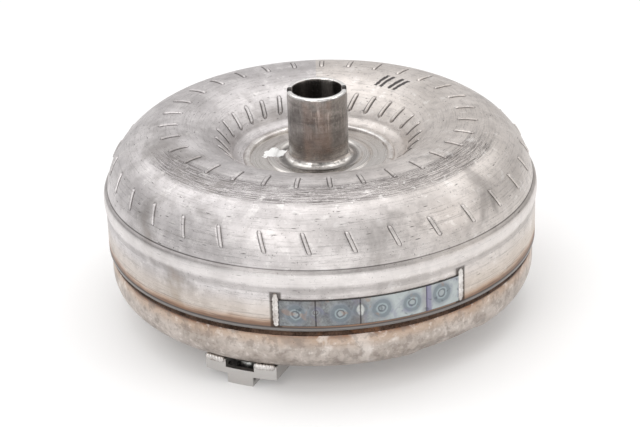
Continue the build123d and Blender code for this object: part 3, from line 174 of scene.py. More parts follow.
def ripple(grid, scale=1.0):
    """Smooth repeatable unevenness between about -1 and 1, for points in millimetres."""
    total = 0
    for index, (rate, direction, phase) in enumerate(WAVES):
        total = total + np.sin(rate * scale * (grid @ np.array(direction)) + phase) / (1.4 + 0.5 * index)
    return total / 2.2


def smoothstep(low, high, value):
    share = np.clip((value - low) / (high - low), 0, 1)
    return share * share * (3 - 2 * share)


# Node materials -----------------------------------------------------------------------------

class Graph:
    """A node material under construction: every method returns an output socket."""

    def __init__(self, name, metallic=1.0):
        self.material = bpy.data.materials.new(name)
        self.material.use_nodes = True
        self.tree = self.material.node_tree
        self.shader = self.tree.nodes["Principled BSDF"]
        self.shader.inputs["Metallic"].default_value = metallic
        self.place = self.node("ShaderNodeTexCoord").outputs["Object"]

    def node(self, kind, **settings):
        made = self.tree.nodes.new(kind)
        for key, value in settings.items():
            setattr(made, key, value)
        return made

    def feed(self, socket, value):
        if isinstance(value, bpy.types.NodeSocket):
            self.tree.links.new(value, socket)
        elif isinstance(value, (tuple, list)) and len(value) == 3 and socket.type == "RGBA":
            socket.default_value = (*value, 1)
        else:
            socket.default_value = value

    def math(self, operation, *values):
        made = self.node("ShaderNodeMath", operation=operation)
        for socket, value in zip(made.inputs, values):
            self.feed(socket, value)
        return made.outputs[0]

    def times(self, first, *others):
        for other in others:
            first = self.math("MULTIPLY", first, other)
        return first

    def plus(self, a, b):
        return self.math("ADD", a, b)

    def minus(self, a, b):
        return self.math("SUBTRACT", a, b)

    def length(self, a, b):
        return self.math("SQRT", self.plus(self.times(a, a), self.times(b, b)))

    def unevenness(self, noise, amount):
        """A noise centred on zero and scaled."""
        return self.times(self.minus(noise, 0.5), amount)

    def along(self, detail, roughness, *rates):
        """Noise stretched by (socket, rate) pairs or set by plain numbers, one for each axis."""
        axes = [self.times(*rate) if isinstance(rate, tuple) else rate for rate in rates]
        return self.noise(1.0, detail, roughness, self.join(*axes))

    def mix(self, share, a, b, blend="MIX"):
        made = self.node("ShaderNodeMix", data_type="RGBA", blend_type=blend)
        self.feed(made.inputs[0], share)
        self.feed(made.inputs[6], a)
        self.feed(made.inputs[7], b)
        return made.outputs[2]

    def noise(self, scale, detail=3.0, roughness=0.5, vector=None, distortion=0.0):
        made = self.node("ShaderNodeTexNoise")
        self.feed(made.inputs["Vector"], vector or self.place)
        made.inputs["Scale"].default_value = scale
        made.inputs["Detail"].default_value = detail
        made.inputs["Roughness"].default_value = roughness
        made.inputs["Distortion"].default_value = distortion
        return made.outputs[0]

    def step(self, value, low, high):
        """0 below low, 1 above high, smooth between; low may be above high."""
        made = self.node("ShaderNodeMapRange", interpolation_type="SMOOTHSTEP", clamp=True)
        self.feed(made.inputs["Value"], value)
        made.inputs["From Min"].default_value = min(low, high)
        made.inputs["From Max"].default_value = max(low, high)
        made.inputs["To Min"].default_value = 0.0 if low < high else 1.0
        made.inputs["To Max"].default_value = 1.0 if low < high else 0.0
        return made.outputs[0]

    def band(self, value, low, high, soft):
        """1 between low and high, fading out over soft on either side."""
        rise = self.step(value, low - soft, low)
        fall = self.step(value, high + soft, high)
        return self.times(rise, fall)

    def split(self, vector=None):
        made = self.node("ShaderNodeSeparateXYZ")
        self.feed(made.inputs[0], vector or self.place)
        return made.outputs

    def join(self, x, y, z):
        made = self.node("ShaderNodeCombineXYZ")
        for socket, value in zip(made.inputs, (x, y, z)):
            self.feed(socket, value)
        return made.outputs[0]

    def round_place(self):
        """Radius in millimetres, direction in degrees from the front, height in millimetres."""
        x, y, z = self.split()
        radius = self.length(x, y)
        back = self.times(y, -1.0)
        direction = self.times(self.math("ARCTAN2", x, back), 180 / math.pi)
        return self.times(radius, 1000.0), direction, self.times(z, 1000.0)

    def bump(self, height, strength, distance):
        made = self.node("ShaderNodeBump")
        self.feed(made.inputs["Height"], height)
        made.inputs["Strength"].default_value = strength
        made.inputs["Distance"].default_value = distance
        socket = made.inputs["Normal"]
        self.feed(socket, getattr(self, "last_bump", None) or socket.default_value)
        self.last_bump = made.outputs[0]
        return made.outputs[0]

    def finish(self, colour, roughness, normal=None):
        self.feed(self.shader.inputs["Base Color"], colour)
        self.feed(self.shader.inputs["Roughness"], roughness)
        if normal is not None:
            self.tree.links.new(normal, self.shader.inputs["Normal"])
        return self.material


def rgb(red, green, blue):
    """Linear colour from 0-255 display values."""
    return tuple((v / 255) / 12.92 if v < 10.3 else ((v / 255 + 0.055) / 1.055) ** 2.4
                 for v in (red, green, blue))


# Finishes -----------------------------------------------------------------------------------

def metal(name, light, dark, roughness, patch=0.03, grain=0.35, rough_spread=0.12, turned=0.0,
          metallic=1.0):
    """Bare metal: patches and speckle between two colours, fine tooth, and turned lines if asked."""
    g = Graph(name, metallic)
    clouds = g.noise(1 / patch, 4, 0.6)
    fine = g.noise(9 / patch, 3, 0.6)
    share = g.plus(g.times(clouds, 0.65), g.times(fine, 0.35))
    g.colour = g.mix(g.step(share, 0.36, 0.64), dark, light)
    g.rough = g.plus(roughness - rough_spread / 2, g.times(fine, rough_spread))
    tooth = g.noise(2200.0, 2, 0.6)
    normal = g.bump(tooth, grain, 0.00012)
    if turned:
        radius, direction, height = g.round_place()
        around = g.times(direction, 0.012)
        lines = g.along(2, 0.7, around, (radius, 2.6), (height, 2.6))
        normal = g.bump(lines, turned, 0.00015)
        g.colour = g.mix(g.times(g.step(lines, 0.42, 0.62), 0.35), g.colour, dark)
    g.normal = normal
    return g


def simple(name, light, dark, roughness, **extra):
    g = metal(name, light, dark, roughness, **extra)
    return g.finish(g.colour, g.rough, g.normal)


def overlay(g, share, colour, amount=1.0):
    g.colour = g.mix(g.times(share, amount), g.colour, colour)


def shell_finish():
    """Deep-drawn steel: cloudy satin, scuffs round the crown, nicks, and heat tint above the seam."""
    g = metal("pressed_steel_worn", rgb(220, 216, 216), rgb(188, 184, 184), 0.46, patch=0.030,
              rough_spread=0.18)
    radius, direction, height = g.round_place()
    warm = g.step(direction, -40.0, 70.0)
    overlay(g, warm, rgb(222, 212, 200), 0.40)
    drawn = g.along(3, 0.7, (direction, 0.05), (radius, 0.5), (height, 0.5))
    overlay(g, g.step(drawn, 0.52, 0.72), rgb(168, 164, 162), 0.35)
    # Scuffs that run round the crown's outer side, and a few sharp dark scratches among them.
    ring = g.times(g.band(radius, 110.0, 123.0, 4.5), g.step(height, 120.0, 130.0))
    front = g.band(direction, -58.0, 62.0, 22.0)
    lines = g.along(4, 0.75, (direction, 0.11), (radius, 1.5), 3.0)
    scuff = g.times(ring, front, g.step(lines, 0.46, 0.54))
    overlay(g, scuff, rgb(108, 103, 102), 0.72)
    long = g.along(2, 0.6, (direction, 0.022), (radius, 0.75), 17.0)
    deep = g.times(ring, front, g.band(long, 0.500, 0.508, 0.008))
    overlay(g, deep, rgb(58, 54, 53), 0.85)
    scratch = g.times(ring, front, g.band(lines, 0.43, 0.445, 0.006))
    overlay(g, scratch, rgb(52, 48, 46), 0.85)
    # Short nicks and pits anywhere.
    bent = g.noise(60.0, 2, 0.5)
    nick_place = g.join(g.times(direction, 0.16), g.times(radius, 0.42),
                        g.plus(g.times(height, 0.42), bent))
    nick = g.node("ShaderNodeTexVoronoi", feature="F1")
    g.feed(nick.inputs["Vector"], nick_place)
    nick.inputs["Scale"].default_value = 1.0
    chosen = g.split(nick.outputs["Color"])[0]
    dots = g.times(g.step(nick.outputs["Distance"], 0.16, 0.06), g.step(chosen, 0.58, 0.62))
    overlay(g, dots, rgb(62, 58, 56), 0.85)
    specks = g.noise(700.0, 2, 0.6)
    overlay(g, g.step(specks, 0.66, 0.72), rgb(96, 91, 88), 0.7)
    mottle = g.noise(150.0, 3, 0.7)
    overlay(g, g.step(mottle, 0.52, 0.66), rgb(158, 153, 151), 0.35)
    overlay(g, g.step(mottle, 0.44, 0.32), rgb(244, 241, 239), 0.40)
    arc_lines = g.along(3, 0.8, (direction, 0.035), (radius, 0.9), (height, 0.9))
    overlay(g, g.band(arc_lines, 0.595, 0.605, 0.012), rgb(92, 87, 85), 0.55)
    # Handling smudges and grey clouds, brown where they are thickest.
    smudge = g.noise(17.0, 5, 0.62, distortion=0.6)
    overlay(g, g.step(smudge, 0.54, 0.68), rgb(142, 137, 134), 0.55)
    overlay(g, g.times(g.step(smudge, 0.62, 0.74), g.step(height, 118.0, 90.0)), rgb(150, 132, 116), 0.45)
    # Heat tint above the seam, in bands that waver with height.
    waver = g.plus(height, g.unevenness(g.noise(24.0, 3, 0.6), 9.0))
    skirt = g.step(height, 84.0, 79.0)
    overlay(g, g.times(skirt, g.step(waver, 78.0, 62.0)), rgb(204, 190, 174), 0.45)
    overlay(g, g.times(skirt, g.step(waver, 61.0, 56.0)), rgb(178, 142, 112), 0.60)
    overlay(g, g.times(skirt, g.step(waver, 57.5, 54.5)), rgb(112, 82, 66), 0.70)
    soot = g.along(3, 0.75, (direction, 0.06), (height, 0.8), 5.0)
    overlay(g, g.times(skirt, g.step(waver, 66.0, 58.0), g.step(soot, 0.50, 0.62)),
            rgb(116, 104, 96), 0.55)
    # Dark band along the skirt's lower edge over the seam: burn from the weld, with painted shade in the
    # seam's crease.
    overlay(g, g.band(g.plus(height, g.times(smudge, 1.2)), 50.0, 54.2, 0.5), rgb(86, 84, 84), 0.88)
    # Ink strokes from the works, as plain dashes, on the crown at the back.
    across = g.times(g.minus(direction, INK_DIRECTION), 1.5)
    out = g.minus(radius, INK_RADIUS)
    lean = g.plus(across, g.times(out, 0.35))
    rag = g.unevenness(g.noise(700.0, 2, 0.7), 3.0)
    for offset in INK_OFFSETS:
        bar = g.band(g.plus(g.minus(lean, offset), rag), -1.1, 1.1, 0.6)
        length = g.band(g.plus(out, rag), -5.8, 5.8, 0.8)
        overlay(g, g.times(bar, length), rgb(52, 48, 50), 0.9)
    # Dark margins beside the upright welds at the strip's ends.
    for place in (STRIP_START - 0.85, STRIP_END + 0.85):
        away = g.math("ABSOLUTE", g.minus(direction, place))
        margin = g.times(g.step(away, 1.75, 1.15), g.band(height, 54.0, 78.5, 1.5))
        overlay(g, margin, rgb(62, 54, 49), 0.80)
    # Painted shade in creases and hollows, and a faint painted highlight along convex edges.
    crease_shade_edge_highlight = g.node("ShaderNodeNewGeometry").outputs["Pointiness"]
    overlay(g, g.step(crease_shade_edge_highlight, 0.493, 0.466), rgb(66, 62, 60), 0.85)
    overlay(g, g.step(crease_shade_edge_highlight, 0.515, 0.56), rgb(238, 235, 232), 0.28)
    # Painted shade in the crease above the bead, a painted highlight along the bead, and painted shade
    # under it.
    overlay(g, g.band(height, 92.6, 94.0, 0.7), rgb(116, 110, 107), 0.38)
    overlay(g, g.band(height, 85.0, 90.5, 2.5), rgb(240, 236, 234), 0.45)
    overlay(g, g.band(height, 79.0, 81.5, 1.8), rgb(150, 145, 143), 0.35)
    g.rough = g.plus(g.rough, g.times(scuff, 0.12))
    g.bump(lines, 0.10, 0.0002)
    normal = g.bump(g.noise(260.0, 3, 0.6), 0.20, 0.0004)
    return g.finish(g.colour, g.rough, normal)


def cover_finish():
    """Pressed cover: beige-grey, mottled, tinted orange and brown towards the seam at its top."""
    g = metal("cover_steel_worn", rgb(204, 195, 188), rgb(172, 162, 154), 0.44, patch=0.030,
              rough_spread=0.18)
    radius, direction, height = g.round_place()
    waver = g.plus(height, g.unevenness(g.noise(26.0, 3, 0.6), 9.0))
    outside = g.step(radius, 140.0, 146.0)
    overlay(g, g.times(outside, g.step(waver, 35.0, 44.0)), rgb(196, 164, 136), 0.50)
    overlay(g, g.times(outside, g.step(waver, 43.0, 47.0)), rgb(128, 88, 64), 0.80)
    stains = g.noise(30.0, 4, 0.65, distortion=0.5)
    overlay(g, g.step(stains, 0.54, 0.66), rgb(134, 124, 118), 0.48)
    overlay(g, g.step(stains, 0.45, 0.36), rgb(226, 219, 213), 0.55)
    mottle = g.noise(140.0, 3, 0.7)
    overlay(g, g.step(mottle, 0.52, 0.62), rgb(136, 126, 119), 0.45)
    overlay(g, g.step(mottle, 0.44, 0.32), rgb(238, 232, 227), 0.40)
    overlay(g, g.step(g.noise(800.0, 2, 0.6), 0.69, 0.76), rgb(104, 92, 86), 0.6)
    streak = g.along(3, 0.7, (direction, 0.10), (radius, 0.6), (height, 0.6))
    overlay(g, g.step(streak, 0.58, 0.72), rgb(136, 126, 120), 0.35)
    normal = g.bump(g.noise(240.0, 3, 0.6), 0.22, 0.0004)
    return g.finish(g.colour, g.rough, normal)


def hub_finish():
    """Ground hub: dark tube with streaks along it and bands round it, a painted highlight on the rim and
    round the foot, painted shade in the recess by the foot and in the notches, a lighter bore with a
    painted highlight band, paler turned flange.
    """
    g = metal("ground_steel_marked", rgb(168, 164, 160), rgb(122, 118, 115), 0.25, patch=0.02, grain=0.06)
    radius, direction, height = g.round_place()
    tube = g.times(g.step(height, 111.0, 112.5), g.step(radius, 19.0, 19.6))
    along = g.along(3, 0.75, (direction, 0.42), (height, 0.03), radius)
    around = g.along(3, 0.7, (direction, 0.006), (height, 0.13), 7.0)
    patch = g.noise(70.0, 2, 0.5)
    ticks = g.times(g.step(along, 0.55, 0.64), g.band(height, 131.0, 149.0, 4.0))
    overlay(g, g.times(tube, g.times(ticks, g.step(patch, 0.40, 0.56))), rgb(222, 215, 209), 0.70)
    overlay(g, g.times(tube, g.step(along, 0.44, 0.36)), rgb(84, 78, 75), 0.25)
    overlay(g, g.times(tube, g.step(around, 0.50, 0.66)), rgb(84, 80, 77), 0.40)
    overlay(g, g.times(tube, g.band(height, 120.0, 130.0, 5.0)), rgb(92, 85, 81), 0.40)
    rings = g.along(2, 0.6, (direction, 0.004), (height, 1.5), 9.0)
    low = g.band(height, 110.0, 121.0, 3.0)
    overlay(g, g.times(tube, g.times(low, g.step(rings, 0.50, 0.60))), rgb(186, 172, 162), 0.40)
    warm = g.times(g.band(direction, -22.0, 18.0, 14.0), g.step(g.noise(38.0, 3, 0.6), 0.42, 0.60))
    overlay(g, g.times(tube, warm), rgb(186, 146, 122), 0.20)
    # Painted highlight along the tube's top edge.
    rim = g.times(g.step(height, HUB_TOP - 1.6, HUB_TOP - 1.0), g.step(radius, 17.6, 17.9))
    overlay(g, rim, rgb(240, 238, 236), 0.92)
    # Painted highlight in blobs round the foot of the tube.
    foot = g.times(g.step(height, 112.4, 111.2), g.step(radius, 24.4, 22.8))
    overlay(g, g.times(foot, g.step(g.noise(120.0, 2, 0.6), 0.40, 0.58)), rgb(228, 224, 220), 0.80)
    # Painted shade in the shallow recess round the foot.
    overlay(g, g.band(radius, 24.6, 26.6, 0.8), rgb(92, 88, 86), 0.55)
    flange = g.step(radius, 27.5, 29.0)
    overlay(g, flange, rgb(202, 198, 194), 0.92)
    turned = g.along(2, 0.7, (direction, 0.01), (radius, 1.1), 2.0)
    overlay(g, g.times(flange, g.step(turned, 0.52, 0.68)), rgb(140, 134, 130), 0.5)
    # Painted shade in the two notches at the top of the hub.
    notch = g.times(g.step(g.math("ABSOLUTE", g.split()[1]), (NOTCH_WIDTH / 2 + 0.4) * MM,
                           (NOTCH_WIDTH / 2 + 0.1) * MM),
                   g.step(height, HUB_TOP - NOTCH_DEPTH - 0.7, HUB_TOP - NOTCH_DEPTH + 0.3))
    overlay(g, notch, rgb(46, 43, 42), 0.90)
    # The bore wall is painted lighter than the tube, as painted light inside it, with darker streaks and a
    # painted highlight band on its far side.
    bore = g.step(radius, 18.1, 17.7)
    overlay(g, bore, rgb(178, 172, 168), 0.7)
    overlay(g, g.times(bore, g.step(along, 0.48, 0.58)), rgb(92, 87, 85), 0.50)
    overlay(g, g.times(bore, g.band(direction, 142.0, 166.0, 6.0)), rgb(250, 247, 244), 0.85)
    # A dab of white paint on the flange.
    x, y = g.split()[:2]
    ragged = g.unevenness(g.noise(160.0, 4, 0.7), 0.011)
    reach = g.length(g.minus(x, PAINT_X * MM), g.minus(y, PAINT_Y * MM))
    paint = g.step(g.plus(reach, ragged), (PAINT_RADIUS + 0.3) * MM, (PAINT_RADIUS - 0.3) * MM)
    paint = g.times(paint, g.step(height, 113.0, 111.0))
    overlay(g, paint, (0.93, 0.93, 0.92))
    g.feed(g.shader.inputs["Metallic"], g.minus(1.0, paint))
    rough = g.plus(g.rough, g.times(paint, 0.3))
    g.bump(along, 0.12, 0.0002)
    normal = g.bump(paint, 0.6, 0.0003)
    return g.finish(g.colour, rough, normal)


def seam_finish():
    """Burnt weld metal in the seam: brown-black with lighter ripple tops."""
    g = metal("burnt_weld_rippled", rgb(94, 75, 64), rgb(48, 37, 31), 0.50, patch=0.012)
    overlay(g, g.step(g.noise(50.0, 3, 0.6), 0.56, 0.70), rgb(132, 94, 68), 0.5)
    overlay(g, g.step(g.noise(700.0, 2, 0.6), 0.66, 0.74), rgb(30, 24, 22), 0.7)
    return g.finish(g.colour, g.rough, g.normal)


# Welds on the strip: direction, height, and radius of the dished spot.
SPOTS = [(-7.2, 64.0, 2.7), (-2.3, 65.5, 1.8), (3.8, 64.0, 2.7), (8.7, 65.5, 2.0), (14.1, 64.5, 2.7),
         (22.0, 64.5, 2.7), (30.3, 65.5, 2.9)]
JOINTS = (-2.3, 8.7, 26.0)


def strip_finish():
    """Balance strip: slate-grey steel with dull temper rings round each spot weld, cut joints, and painted
    shadow along its top and bottom edges.
    """
    g = metal("tinted_steel_spots", rgb(148, 152, 152), rgb(104, 105, 108), 0.34, patch=0.014)
    direction, height = g.round_place()[1:]
    overlay(g, g.step(direction, 4.0, 20.0), rgb(196, 204, 204), 0.65)
    cloud = g.noise(85.0, 3, 0.6, distortion=0.8)
    fine = g.noise(230.0, 3, 0.6)
    per_degree = STRIP_RADIUS * math.pi / 180
    for place, middle, size in SPOTS:
        u = g.times(g.minus(direction, place), per_degree)
        v = g.minus(height, middle)
        reach = g.length(u, v)
        reach = g.plus(reach, g.unevenness(fine, 2.2))
        ring = g.math("DIVIDE", reach, size)
        overlay(g, g.step(ring, 3.4, 2.4), rgb(134, 140, 148), 0.6)
        overlay(g, g.band(ring, 1.60, 2.20, 0.35), rgb(104, 116, 122), 0.50)
        overlay(g, g.band(ring, 1.15, 1.40, 0.20), rgb(158, 172, 174), 0.50)
        overlay(g, g.band(ring, 0.80, 0.98, 0.18), rgb(80, 88, 92), 0.55)
        overlay(g, g.step(ring, 0.75, 0.45), rgb(168, 176, 176), 0.60)
    u = g.times(g.minus(direction, 8.7), per_degree / 2.6)
    v = g.times(g.minus(height, 65.3), 1 / 4.6)
    oval = g.length(u, v)
    oval = g.plus(oval, g.unevenness(fine, 0.7))
    overlay(g, g.step(oval, 1.05, 0.65), rgb(228, 234, 232), 0.8)
    for place in JOINTS:
        away = g.math("ABSOLUTE", g.minus(direction, place))
        overlay(g, g.step(away, 1.9, 0.6), rgb(128, 116, 112), 0.35)
        overlay(g, g.step(away, 0.24, 0.12), rgb(52, 48, 48), 0.75)
    overlay(g, g.step(g.math("ABSOLUTE", g.minus(direction, 26.6)), 1.0, 0.4), rgb(122, 116, 158), 0.5)
    overlay(g, g.step(cloud, 0.57, 0.68), rgb(128, 124, 150), 0.35)
    overlay(g, g.step(cloud, 0.42, 0.33), rgb(160, 134, 118), 0.45)
    overlay(g, g.step(fine, 0.60, 0.72), rgb(70, 76, 80), 0.45)
    # Painted shadow along the strip's top and bottom edges.
    edge = g.math("MAXIMUM", g.step(height, STRIP_HIGH - 0.8, STRIP_HIGH - 0.2),
                  g.step(height, STRIP_LOW + 0.8, STRIP_LOW))
    overlay(g, edge, rgb(56, 52, 50), 0.85)
    normal = g.bump(g.noise(500.0, 2, 0.6), 0.25, 0.0003)
    return g.finish(g.colour, g.rough, normal)


def lug_finish():
    """Coined steel lug: smooth grey with painted shade on the flanks, worn edges with a painted highlight
    along them, and a few rust freckles.
    """
    g = metal("lug_steel_coined", rgb(92, 89, 88), rgb(66, 63, 62), 0.44, patch=0.014, rough_spread=0.14)
    x, y = g.split()[:2]
    overlay(g, g.step(g.noise(60.0, 4, 0.65), 0.56, 0.70), rgb(112, 107, 105), 0.5)
    overlay(g, g.step(g.noise(900.0, 2, 0.6), 0.70, 0.77), rgb(90, 70, 58), 0.5)
    # Painted shade on the upright faces that look along the circle, the flanks.
    geometry = g.node("ShaderNodeNewGeometry")
    facing = g.split(geometry.outputs["Normal"])
    outward = g.plus(g.times(facing[0], x), g.times(facing[1], y))
    reach = g.length(x, y)
    outward = g.math("ABSOLUTE", g.math("DIVIDE", outward, reach))
    upright = g.step(g.math("ABSOLUTE", facing[2]), 0.6, 0.4)
    overlay(g, g.times(upright, g.step(outward, 0.62, 0.45)), rgb(84, 80, 80), 0.8)
    # Convex edges made bright: edge wear, with a painted highlight along them.
    worn = g.step(geometry.outputs["Pointiness"], 0.53, 0.60)
    overlay(g, worn, rgb(222, 219, 216), 0.75)
    normal = g.bump(g.noise(320.0, 3, 0.65), 0.30, 0.0004)
    return g.finish(g.colour, g.rough, normal)


def weld_finish():
    """Weld metal: silvery with brown fringes."""
    g = metal("weld_bead_rippled", rgb(236, 233, 230), rgb(190, 184, 180), 0.32, patch=0.01)
    radius, height = g.round_place()[::2]
    foot = g.times(g.step(radius, SKIRT_RADIUS + 0.75, SKIRT_RADIUS + 0.2), g.step(height, 52.0, 53.0))
    foot = g.times(foot, g.step(radius, 148.0, 149.0))
    overlay(g, foot, rgb(60, 54, 50), 0.9)
    overlay(g, g.step(g.noise(110.0, 3, 0.6), 0.56, 0.70), rgb(140, 122, 108), 0.5)
    overlay(g, g.step(g.noise(800.0, 2, 0.6), 0.69, 0.75), rgb(70, 62, 58), 0.6)
    return g.finish(g.colour, g.rough, g.normal)


looks = {
    "pressed_steel": shell_finish(),
    "cover_steel": cover_finish(),
    "ground_steel": hub_finish(),
    "burnt_weld": seam_finish(),
    "tinted_steel": strip_finish(),
    "lug_steel": lug_finish(),
    "weld_bead": weld_finish(),
    "machined_steel": simple("machined_steel_turned", rgb(196, 196, 198), rgb(160, 160, 163), 0.28,
                             turned=0.35),
    "hardened_steel": simple("hardened_steel_dark", rgb(120, 119, 124), rgb(78, 77, 82), 0.38, patch=0.02),
    "sheet_steel": simple("sheet_steel_satin", rgb(190, 187, 184), rgb(156, 152, 149), 0.38, patch=0.03),
    "zinc_steel": simple("zinc_steel_plated", rgb(206, 208, 204), rgb(150, 152, 150), 0.33, patch=0.006),
    "bearing_steel": simple("bearing_steel_polished", rgb(214, 214, 218), rgb(186, 186, 191), 0.12,
                            turned=0.10, rough_spread=0.06, grain=0.08),
    "spring_steel": simple("spring_steel_oiled", rgb(104, 103, 110), rgb(58, 58, 64), 0.32, patch=0.006),
    "cast_aluminium": simple("cast_aluminium_sandy", rgb(208, 208, 208), rgb(168, 168, 170), 0.52,
                             patch=0.008, grain=0.9),
    "brass_cage": simple("brass_cage_pressed", rgb(214, 178, 104), rgb(168, 132, 68), 0.30, patch=0.008),
    "thrust_polymer": simple("thrust_polymer_filled", rgb(120, 92, 60), rgb(88, 64, 42), 0.45, patch=0.004,
                             metallic=0.0),
    "seal_polymer": simple("seal_polymer_filled", rgb(60, 54, 50), rgb(38, 34, 32), 0.42, patch=0.004,
                           metallic=0.0),
    "friction_paper": simple("friction_paper_fibrous", rgb(128, 96, 60), rgb(82, 58, 36), 0.85, patch=0.003,
                             metallic=0.0, grain=1.0),
}

for node in frame["nodes"].values():
    for place in node.material_slots:
        place.material = looks[place.material.name]


# Impeller shell -----------------------------------------------------------------------------

FLOOR_RADIUS, FLOOR_Z = 53.8, 109.0
HOLE_RADIUS = 50.0
RIDGE_LENGTH, RIDGE_WIDTH, RIDGE_HEIGHT = 13.5, 2.4, 0.9
SHELL_WAVES = 0.10
ARC_FOOT, ARC_WELL = 8.8, 149.5    # where the outer arc starts and the inner arc ends, in degrees
FILLET_START = arc(CREST_RADIUS, INNER_ARC_Z, INNER_ARC, ARC_WELL, ARC_WELL, 0)[0]
MOAT = 0.22

# The rounded bead round the shell's widest part: how proud of the skirt it is at each height.
BULGE = [(0.0, SKIRT_TOP), (0.14, 80.4), (0.44, 82.0), (0.80, 83.8), (1.03, 85.6), (1.10, 87.4),
         (1.02, 89.2), (0.76, 90.8), (0.30, 92.2), (-0.35, 93.3), (-1.0, 93.9)]


def shell_outline():
    """Outline of the sheet, and how many of its points, from the first, are its outer side."""
    outer = run((SKIRT_RADIUS, SKIRT_BOTTOM), (SKIRT_RADIUS, SKIRT_TOP), 14)
    outer += [(SKIRT_RADIUS + proud, height) for proud, height in BULGE]
    outer += arc(CREST_RADIUS, OUTER_ARC_Z, OUTER_ARC, ARC_FOOT, 90, 92)
    outer += arc(CREST_RADIUS, INNER_ARC_Z, INNER_ARC, 90, ARC_WELL, 58)[1:]
    start, end = np.array(FILLET_START), np.array((FLOOR_RADIUS, FLOOR_Z))
    corner = np.array((57.0, FLOOR_Z + 0.25))
    for t in np.linspace(0, 1, 9)[1:]:
        outer.append(tuple((1 - t) ** 2 * start + 2 * t * (1 - t) * corner + t ** 2 * end))
    outer.append((HOLE_RADIUS, FLOOR_Z))
    inner = [(HOLE_RADIUS, FLOOR_Z - SHEET), (FLOOR_RADIUS + 1.5, FLOOR_Z - SHEET)]
    inner += arc(CREST_RADIUS, INNER_ARC_Z, INNER_ARC - SHEET, ARC_WELL, 90, 14)
    inner += arc(CREST_RADIUS, OUTER_ARC_Z, OUTER_ARC - SHEET, 90, ARC_FOOT, 16)[1:]
    inner += [(SKIRT_RADIUS - SHEET, SKIRT_TOP), (SKIRT_RADIUS - SHEET, SKIRT_BOTTOM)]
    return outer + inner, len(outer)


def hermite(value, knots):
    """Smooth curve through (place, height, slope) knots, flat beyond the ends' slopes."""
    value = np.asarray(value, float)
    result = np.full(value.shape, knots[0][1], float)
    for (s0, h0, m0), (s1, h1, m1) in zip(knots, knots[1:]):
        t = np.clip((value - s0) / (s1 - s0), 0, 1)
        curve = ((2 * t ** 3 - 3 * t ** 2 + 1) * h0 + (t ** 3 - 2 * t ** 2 + t) * (s1 - s0) * m0
                 + (-2 * t ** 3 + 3 * t ** 2) * h1 + (t ** 3 - t ** 2) * (s1 - s0) * m1)
        result = np.where(value >= s0, curve, result)
    return result


def shell_piece():
    outline, outer_count = shell_outline()
    points = np.array(outline)
    steps = np.linalg.norm(np.diff(points[:outer_count], axis=0), axis=1)
    along = np.concatenate([[0], np.cumsum(steps)])
    # Places of the ridge rings along the section: (point on it, direction, degrees per millimetre).
    rings = []
    for centre_z, radius, height_angle, direction, lean in (
            (OUTER_ARC_Z, OUTER_ARC, 29.0, 7.3, -20.0), (OUTER_ARC_Z, OUTER_ARC, 86.5, 3.3, 0.0),
            (INNER_ARC_Z, INNER_ARC, 136.0, 6.4, 14.0)):
        spot = np.array(arc(CREST_RADIUS, centre_z, radius, height_angle, height_angle, 0)[0])
        place = along[np.argmin(np.linalg.norm(points[:outer_count] - spot, axis=1))]
        slope = math.degrees(math.tan(math.radians(lean)) / spot[0])
        rings.append((place, direction, slope))
    first, last = rings[0], rings[-1]
    reach = 14.0
    knots = [(first[0] - 3 * reach, first[1] - 2 * reach * first[2], 0.0), *rings,
             (last[0] + 2 * reach, last[1] + 1.4 * reach * last[2], 0.0)]
    blade = np.empty(len(points))
    blade[:outer_count] = hermite(along, knots)
    blade[outer_count:] = np.linspace(blade[outer_count - 1], blade[0], len(points) - outer_count)
    # Columns, close together across each ridge.
    width = math.degrees(RIDGE_WIDTH / 105)
    near = np.array([0.0, 0.14, 0.25, 0.33, 0.40, 0.47, 0.55, 0.66, 0.82, 1.05]) * width
    offsets = np.concatenate([-near[:0:-1], near, np.linspace(near[-1], PITCH - near[-1], 12)[1:-1]])
    columns = np.concatenate([k * PITCH + offsets for k in range(BLADE_COUNT)])
    directions = columns[:, None] + blade[None, :]
    grid = turned_grid(outline, directions)
    height = np.zeros(directions.shape)
    local = (columns + PITCH / 2) % PITCH - PITCH / 2
    for place, direction, slope in rings:
        lengthwise = np.full(len(points), 1e3)
        lengthwise[:outer_count] = np.abs(along - place)
        beyond = np.maximum(lengthwise - (RIDGE_LENGTH - RIDGE_WIDTH) / 2, 0)
        sideways = np.radians(local)[:, None] * points[None, :, 0]
        distance = np.hypot(sideways, beyond[None, :]) / (RIDGE_WIDTH / 2)
        height += RIDGE_HEIGHT * (1 - smoothstep(0.55, 1.10, distance))
        height -= MOAT * (smoothstep(0.95, 1.20, distance) - smoothstep(1.20, 2.2, distance))
    waves = SHELL_WAVES * ripple(grid)
    waves[:, outer_count:] = 0.0
    height[:, outer_count:] = 0.0
    push(grid, outline, height + waves)
    faces = grid_faces(len(columns), len(outline), True)
    return make_piece("impeller_shell_pressed", grid.reshape(-1, 3), faces, "pressed_steel",
                      ["impeller_shell"])


shell_piece()


# Hub ----------------------------------------------------------------------------------------

